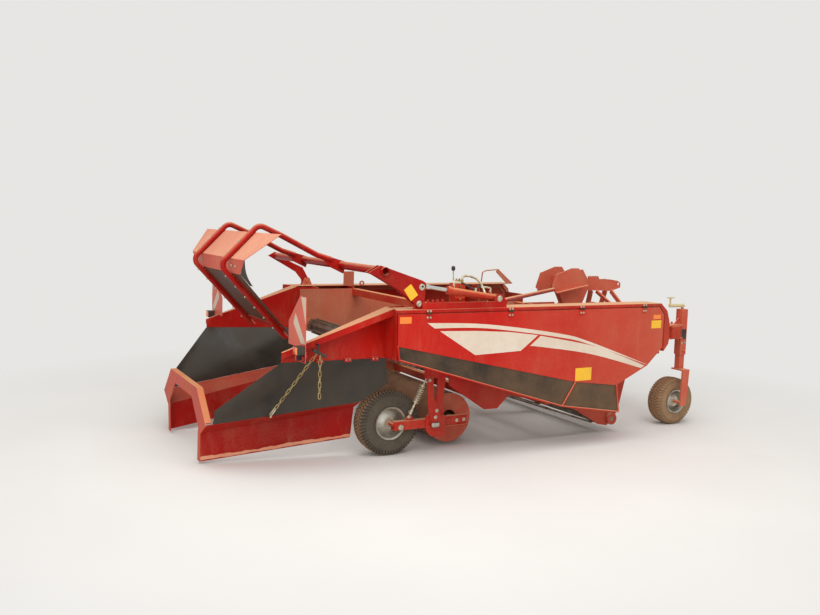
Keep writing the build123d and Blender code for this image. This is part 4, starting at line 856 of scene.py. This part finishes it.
def fasteners():
    frame_bolts, hood_bolts, knuckles, bosses = Shape(), Shape(), Shape(), Shape()
    for side, sign in SIDES:
        out = (0, sign, 0)
        door, leaf = Shape(), Shape()
        for x in HINGE_X:
            for dx in (-12, 12):
                frame_bolts.turned((x + dx, sign * HINGE_BOLT_OUT, FRAME_ROW_Z), out, HINGE_BOLT, 14)
                door.turned((x + dx, sign * HINGE_BOLT_OUT, DOOR_ROW_Z), out, HINGE_BOLT, 14)
            centre = (sign * HINGE_OUT, HINGE_Z)
            knuckles.turned((x - 20, *centre), (1, 0, 0), [(4, -2), (6.8, 0), (6.8, 19.4)], 20)
            leaf.turned((x + 0.6, *centre), (1, 0, 0), [(6.8, 0), (6.8, 19.4), (4, 21.4)], 20)
        door.build("hinge_bolts_door_" + side, "bolt", "door_" + side, "spring_steel")
        leaf.build("hinge_knuckles_door_" + side, "knuckle", "door_" + side, "spring_steel")
        for form, heads in ((frame_bolts.bolt, FRAME_BOLTS), (frame_bolts.pin, FRAME_PINS)):
            for x, y, z, r, thick in heads:
                form((x, sign * y, z), out, r, thick)
        low, high = sorted((sign * 891, sign * 911))
        bosses.box((300, low, 208), (370, high, 246), 12.0)
        for x in TAB_X:
            t = (WALL_FROM - x) / WALL_LONG
            edge = 1060 - 52 * t
            for dx in (-14, 14):
                frame_bolts.bolt((x + dx, sign * (edge - 145 + 125 * t + 12.5), 766 + 18 * t), out, 6, 6)
        slab_outline("leg_plate_" + side, LEG_PLATE, 885, sign, "black", "frame", 1.5)
        hood_bolts.pin((30, sign * 1150, 1180), out, 17, 9)
        for y in (420, 520):
            hood_bolts.bolt((-1105, sign * y, 1404), (-1, 0, 0.09), 8, 7)
        for (x, z), (run_x, run_z), (skin_x, skin_z), way, first, pitch, count in TUBE_BOLTS:
            for k in range(count):
                far = first + pitch * k
                hood_bolts.bolt((x + run_x * far + skin_x, sign * 400, z + run_z * far + skin_z), way, 6, 7)
    hood_bolts.pin((49, -1150, 1297), (0, -1, 0), 19, 10)
    frame_bolts.pin((697, -1166, 1205), (0, -1, 0), 19, 10)
    bosses.build("link_bosses", "zinc", "frame", "rim_steel")
    knuckles.build("hinge_knuckles", "knuckle", "frame", "spring_steel")
    frame_bolts.build("frame_bolts", "bolt", "frame", "spring_steel")
    hood_bolts.build("hood_bolts", "bolt", "hood", "spring_steel")
    slab_outline("arm_plate", ARM_PLATE, 1150, -1, "yellow", "hood", 0.8)


fasteners()


def corner_plate():
    """Blank white plate on the slanted rear plate of the right side."""
    shape = Shape()
    corners = [(-120 - 36 * (y - 1060) / 120, y, z) for y, z in oblong(1086, 1146, 1052, 1096)]
    shape.plate(*[[(x - off, -y + back, z) for x, y, z in corners] for off, back in ((0.2, 0.1), (1.2, 0.4))])
    shape.build("corner_plate", "white", "frame", "board_paint", False)


corner_plate()


# Hydraulics: elbows and a pipe on the cylinder's barrel, and the valve block on the deck

BARREL_BASE, BARREL_EYE, BARREL_R = (697, -1119, 1205), (51, -1119, 1304), 26
PORT_RUNS = (62, 380)
VALVE_Y, VALVE_TOP = -850, 1300
VALVE_PORTS, SIDE_PORTS = (510, 536, 562), (1180, 1230, 1272)
LEVER = [(482, VALVE_Y, 1300), (482, VALVE_Y, 1345), (479, VALVE_Y, 1396)]
KNOB = [(8, 0), (14, 7), (15.5, 16), (14, 28), (9, 35), (2, 37)]
DECK_PIPE = [(562, -850, 1328), (564, -850, 1346), (590, -850, 1353), (622, -850, 1352), (668, -868, 1336),
             (700, -888, 1306), (712, -905, 1272), (718, -950, 1200), (722, -1000, 1147)]
UP = (0, 0, 1)


def barrel_fittings():
    base, eye = Vector(BARREL_BASE), Vector(BARREL_EYE)
    ahead = (eye - base).normalized()
    up = Vector((-ahead.z, 0, ahead.x)) * -1

    def line(start, *steps):
        """Points at steps of (rise, run) from a start."""
        return [start + up * rise + ahead * run for rise, run in steps]

    steel, pipe = Shape(), Shape()
    low, high = [base + ahead * run + up * BARREL_R for run in PORT_RUNS]
    for port in (low, high):
        steel.turned(port, up, [(10, 0), (10, 16), (8.5, 17)], 6)
        steel.turned(port, up, [(7, 15), (7, 24)], 14)
    elbows = (line(low, (22, 0), (34, 0), (40, 8), (42, 40), (38, 74)),
              line(high, (22, 0), (34, 0), (40, -8), (42, -38)))
    for elbow in elbows:
        steel.tube(elbow, 6.5)
    for elbow, way in zip(elbows, (ahead, -ahead)):
        steel.turned(elbow[-1], way, [(9, 0), (9, 14), (7.5, 15)], 6)
    joint = low + up * 12 + ahead * 130
    pipe.tube(line(high, (42, -50), (40, -76), (30, -110)) + line(joint, (6, 40), (0, 0)), 6)
    pipe.tube(line(low, (38, 88), (34, 104)) + line(joint, (8, -10), (0, 0)), 6)
    steel.turned(joint - up * 14, up, [(11, 0), (11, 22), (9, 24)], 6)
    steel.build("barrel_elbows", "spring", "hood_cylinder_barrel", "spring_steel")
    pipe.build("barrel_pipes", "black", "hood_cylinder_barrel", "black_rubber")


def valve():
    body, brass, steel, knob = Shape(), Shape(), Shape(), Shape()
    body.box((450, -1010, 1139.3), (590, -808, 1147), 1.5)
    body.box((470, -890, 1147), (570, -810, VALVE_TOP), 5.0)
    body.box((478, -893, 1170), (562, -808, 1196), 4.0)
    for x in VALVE_PORTS:
        brass.turned((x, VALVE_Y, VALVE_TOP), UP, [(11, 0), (11, 20), (9.5, 22)], 6)
        brass.turned((x, VALVE_Y, VALVE_TOP + 20), UP, [(7, 0), (7, 12), (5.5, 13)], 16)
    for z in SIDE_PORTS:
        brass.turned((520, -890, z), (0, -1, 0), [(9, 0), (9, 8), (7, 9)], 6)
    steel.tube(LEVER, 4.5)
    steel.turned((482, VALVE_Y, 1298), UP, [(10, 0), (10, 12), (7, 16)], 20)
    knob.turned((479, VALVE_Y, 1392), UP, KNOB)
    steel.tube(DECK_PIPE, 9, 14)
    steel.turned((722, -1000, 1139.5), UP, [(14, 0), (14, 10), (11, 12)], 6)
    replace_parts(body.build("valve_body", "dusty_red", "frame", "red_paint"), "valve_block")
    brass.build("valve_fittings", "brass", "frame", "spring_steel")
    steel.build("valve_lever_and_pipe", "spring", "frame", "spring_steel")
    knob.build("valve_knob", "black", "frame", "black_rubber")


barrel_fittings()
valve()


# Warning boards and lamps

# Flat details on the boards' rear face, right side: (out, height)
BOARD_FACE, STRIPE_T = -824.0, 0.6
UPPER_STRIPE = [(-1083, 1237), (-1174, 1237), (-1174, 1062)]
LOWER_STRIPE = [(-982, 1118), (-942, 1048), (-1090, 926), (-1174, 930)]
LAMP_FIELD = [(-1122, 804), (-1174, 804), (-1174, 924), (-1122, 924)]
# Lamp lenses: colour, near and far side, foot, top, station
LENSES = (("red", 1092, 1127, 861, 909, -878), ("amber", 1129, 1168, 861, 909, -878),
          ("red", 1092, 1118, 818, 857, -864))
REFLECTOR = (-832, 1145, 832)


def facing_rear(shape, outline, sign):
    """Plate on a board's rear face, from its right-side outline of (out, height)."""
    shape.plate(*[[(x, -sign * y, z) for y, z in outline] for x in (BOARD_FACE, BOARD_FACE - STRIPE_T)])


def board_details():
    white, amber, ruby, ring = Shape(), Shape(), Shape(), Shape()
    rear = (-1, 0, 0)
    for sign in (-1, 1):
        facing_rear(white, UPPER_STRIPE, sign)
        facing_rear(white, LOWER_STRIPE, sign)
        facing_rear(ruby, LAMP_FIELD, sign)
        for colour, near, far, low, high, x in LENSES:
            shape = ruby if colour == "red" else amber
            a, b = sorted((sign * near, sign * far))
            shape.box((x - 3.5, a, low), (x + 1, b, high), 1.6)
            for k in range(1, 5):
                z = low + (high - low) * k / 5
                shape.box((x - 4.3, a + 3, z - 0.8), (x - 3, b - 3, z + 0.8), 0.35)
        x, y, z = REFLECTOR
        ruby.turned((x, sign * y, z), rear, [(19, 0), (19, 1), (17, 1.8), (1, 2.0)], 32)
        ring.turned((x, sign * y, z), rear, [(22.5, -1), (22.5, 1.6), (19.5, 2.0), (19.2, 0.4)], 32)
    white.build("board_stripes", "board_white", "frame", "board_paint", False)
    amber.build("amber_lenses", "orange", "frame", "lamp_lens")
    ruby.build("red_lenses", "red_lens", "frame", "lamp_lens")
    ring.build("reflector_rings", "black", "frame", "black_rubber")


board_details()


# Worn strip along the foot of each former rail, where soil has rubbed the paint off

RAIL_REAR_FOOT, RAIL_REAR_KNEE = (502, 20), (519, 224)
RAIL_FRONT_FOOT, RAIL_FRONT_KNEE = (690, 140), (745, 380)
RAIL_FROM, RAIL_LONG = -1345, 1069
STRIP_STEPS, STRIP_LIFT = 90, 2.8


def worn_rails():
    strip = Shape()
    for sign in (-1, 1):
        rows = []
        for k in range(STRIP_STEPS + 1):
            t = k / STRIP_STEPS
            foot = [a + (b - a) * t for a, b in zip(RAIL_REAR_FOOT, RAIL_FRONT_FOOT)]
            knee = [a + (b - a) * t for a, b in zip(RAIL_REAR_KNEE, RAIL_FRONT_KNEE)]
            rise = Vector((knee[0] - foot[0], knee[1] - foot[1]))
            unit = rise.normalized()
            low = 9 + 2.0 * math.sin(23 * t) + 1.2 * math.sin(61 * t)
            high = 31 + 4.0 * math.sin(11 * t + 1) + 2.5 * math.sin(47 * t) + 1.5 * math.sin(113 * t)
            ring = []
            for up, lift in ((low, 0.1), (low, STRIP_LIFT), (high, STRIP_LIFT), (high, 0.1)):
                y = foot[0] + unit.x * up + unit.y * lift
                z = foot[1] + unit.y * up - unit.x * lift
                ring.append(Vector((RAIL_FROM + RAIL_LONG * t, sign * y, z)))
            rows.append(ring)
        strip.rings(rows)
    strip.build("worn_strips", "pale_dust", "frame", "red_paint", False)


worn_rails()


# Floor, light and camera

FLOOR_REACH = 60.0


def seen_by(tree, *rays):
    """1 where the ray is one of the kinds named."""
    path = tree.nodes.new("ShaderNodeLightPath")
    total = path.outputs[rays[0]]
    for ray in rays[1:]:
        total = add_node(tree, "Math", {0: total, 1: path.outputs[ray]}, "Value", use_clamp=True)
    return total


def stage():
    mesh = bpy.data.meshes.new("floor")
    corners = [(x, y, 0) for x, y in oblong(-FLOOR_REACH, FLOOR_REACH, -FLOOR_REACH, FLOOR_REACH)]
    mesh.from_pydata(corners, [], [(0, 1, 2, 3)])
    g = Graph("pale_floor")
    drift = g.ramp(g.noise(0.8, 4.0), 0.3, 0.7)
    g.finish(g.mix(drift, (0.74, 0.73, 0.71, 1), (0.78, 0.77, 0.75, 1)), 0.9)
    glow = add_node(g.tree, "Emission", {"Color": BACKDROP}, "Emission")
    far = g.math("SQRT", g.math("ADD", g.math("POWER", g.axis("X"), 2.0), g.math("POWER", g.axis("Y"), 2.0)))
    away = g.math("MULTIPLY", g.ramp(far, 2.4, 5.0), seen_by(g.tree, "Is Camera Ray", "Is Glossy Ray"))
    blend = add_node(g.tree, "MixShader", {"Fac": away, 1: g.shader.outputs["BSDF"], 2: glow}, "Shader")
    put(g.tree, blend, g.tree.nodes["Material Output"].inputs["Surface"])
    mesh.materials.append(g.material)
    add_object("floor", mesh)
    world = bpy.data.worlds.new("soft_sky")
    bpy.context.scene.world = world
    world.use_nodes = True
    tree = world.node_tree
    back = tree.nodes["Background"]
    back.inputs["Color"].default_value = (1.0, 0.985, 0.96, 1)
    back.inputs["Strength"].default_value = 0.62
    seen = add_node(tree, "Background", {"Color": BACKDROP, "Strength": 1.0}, "Background")
    rays = seen_by(tree, "Is Camera Ray", "Is Glossy Ray", "Is Transmission Ray")
    either = add_node(tree, "MixShader", {"Fac": rays, 1: back.outputs["Background"], 2: seen}, "Shader")
    put(tree, either, tree.nodes["World Output"].inputs["Surface"])


def lamp(name, place, target, size, watts, colour):
    data = bpy.data.lights.new(name, "AREA")
    data.size = size
    data.energy = watts
    data.color = colour
    obj = add_object(name, data)
    obj.location = place
    obj.rotation_mode = "QUATERNION"
    obj.rotation_quaternion = (Vector(place) - Vector(target)).to_track_quat("Z", "Y")


def camera():
    yaw, pitch, roll = CAMERA_YAW, CAMERA_PITCH, CAMERA_ROLL
    flat = math.cos(pitch)
    ahead = Vector((math.sin(yaw) * flat, math.cos(yaw) * flat, -math.sin(pitch)))
    right = Vector((math.cos(yaw), -math.sin(yaw), 0))
    up = right.cross(ahead)
    across = right * math.cos(roll) + up * math.sin(roll)
    high = up * math.cos(roll) - right * math.sin(roll)
    data = bpy.data.cameras.new("camera")
    data.sensor_width = 36.0
    data.lens = FOCAL_PX / PHOTO_WIDTH * data.sensor_width
    obj = add_object("camera", data)
    turn = Matrix((across, high, -ahead)).transposed().to_4x4()
    spot = Vector((CAMERA_AT[0] - X_MID * MM, CAMERA_AT[1], CAMERA_AT[2]))
    obj.matrix_world = Matrix.Translation(spot) @ turn
    bpy.context.scene.camera = obj


stage()
lamp("sky_panel", (-1.5, -3.0, 7.0), (0, 0, 0.5), 7.0, 420.0, (1.0, 0.98, 0.95))
lamp("side_panel", (-6.0, -6.0, 3.0), (0, 0, 0.6), 4.0, 120.0, (1.0, 0.98, 0.95))
camera()
bpy.context.scene.view_settings.view_transform = "Standard"
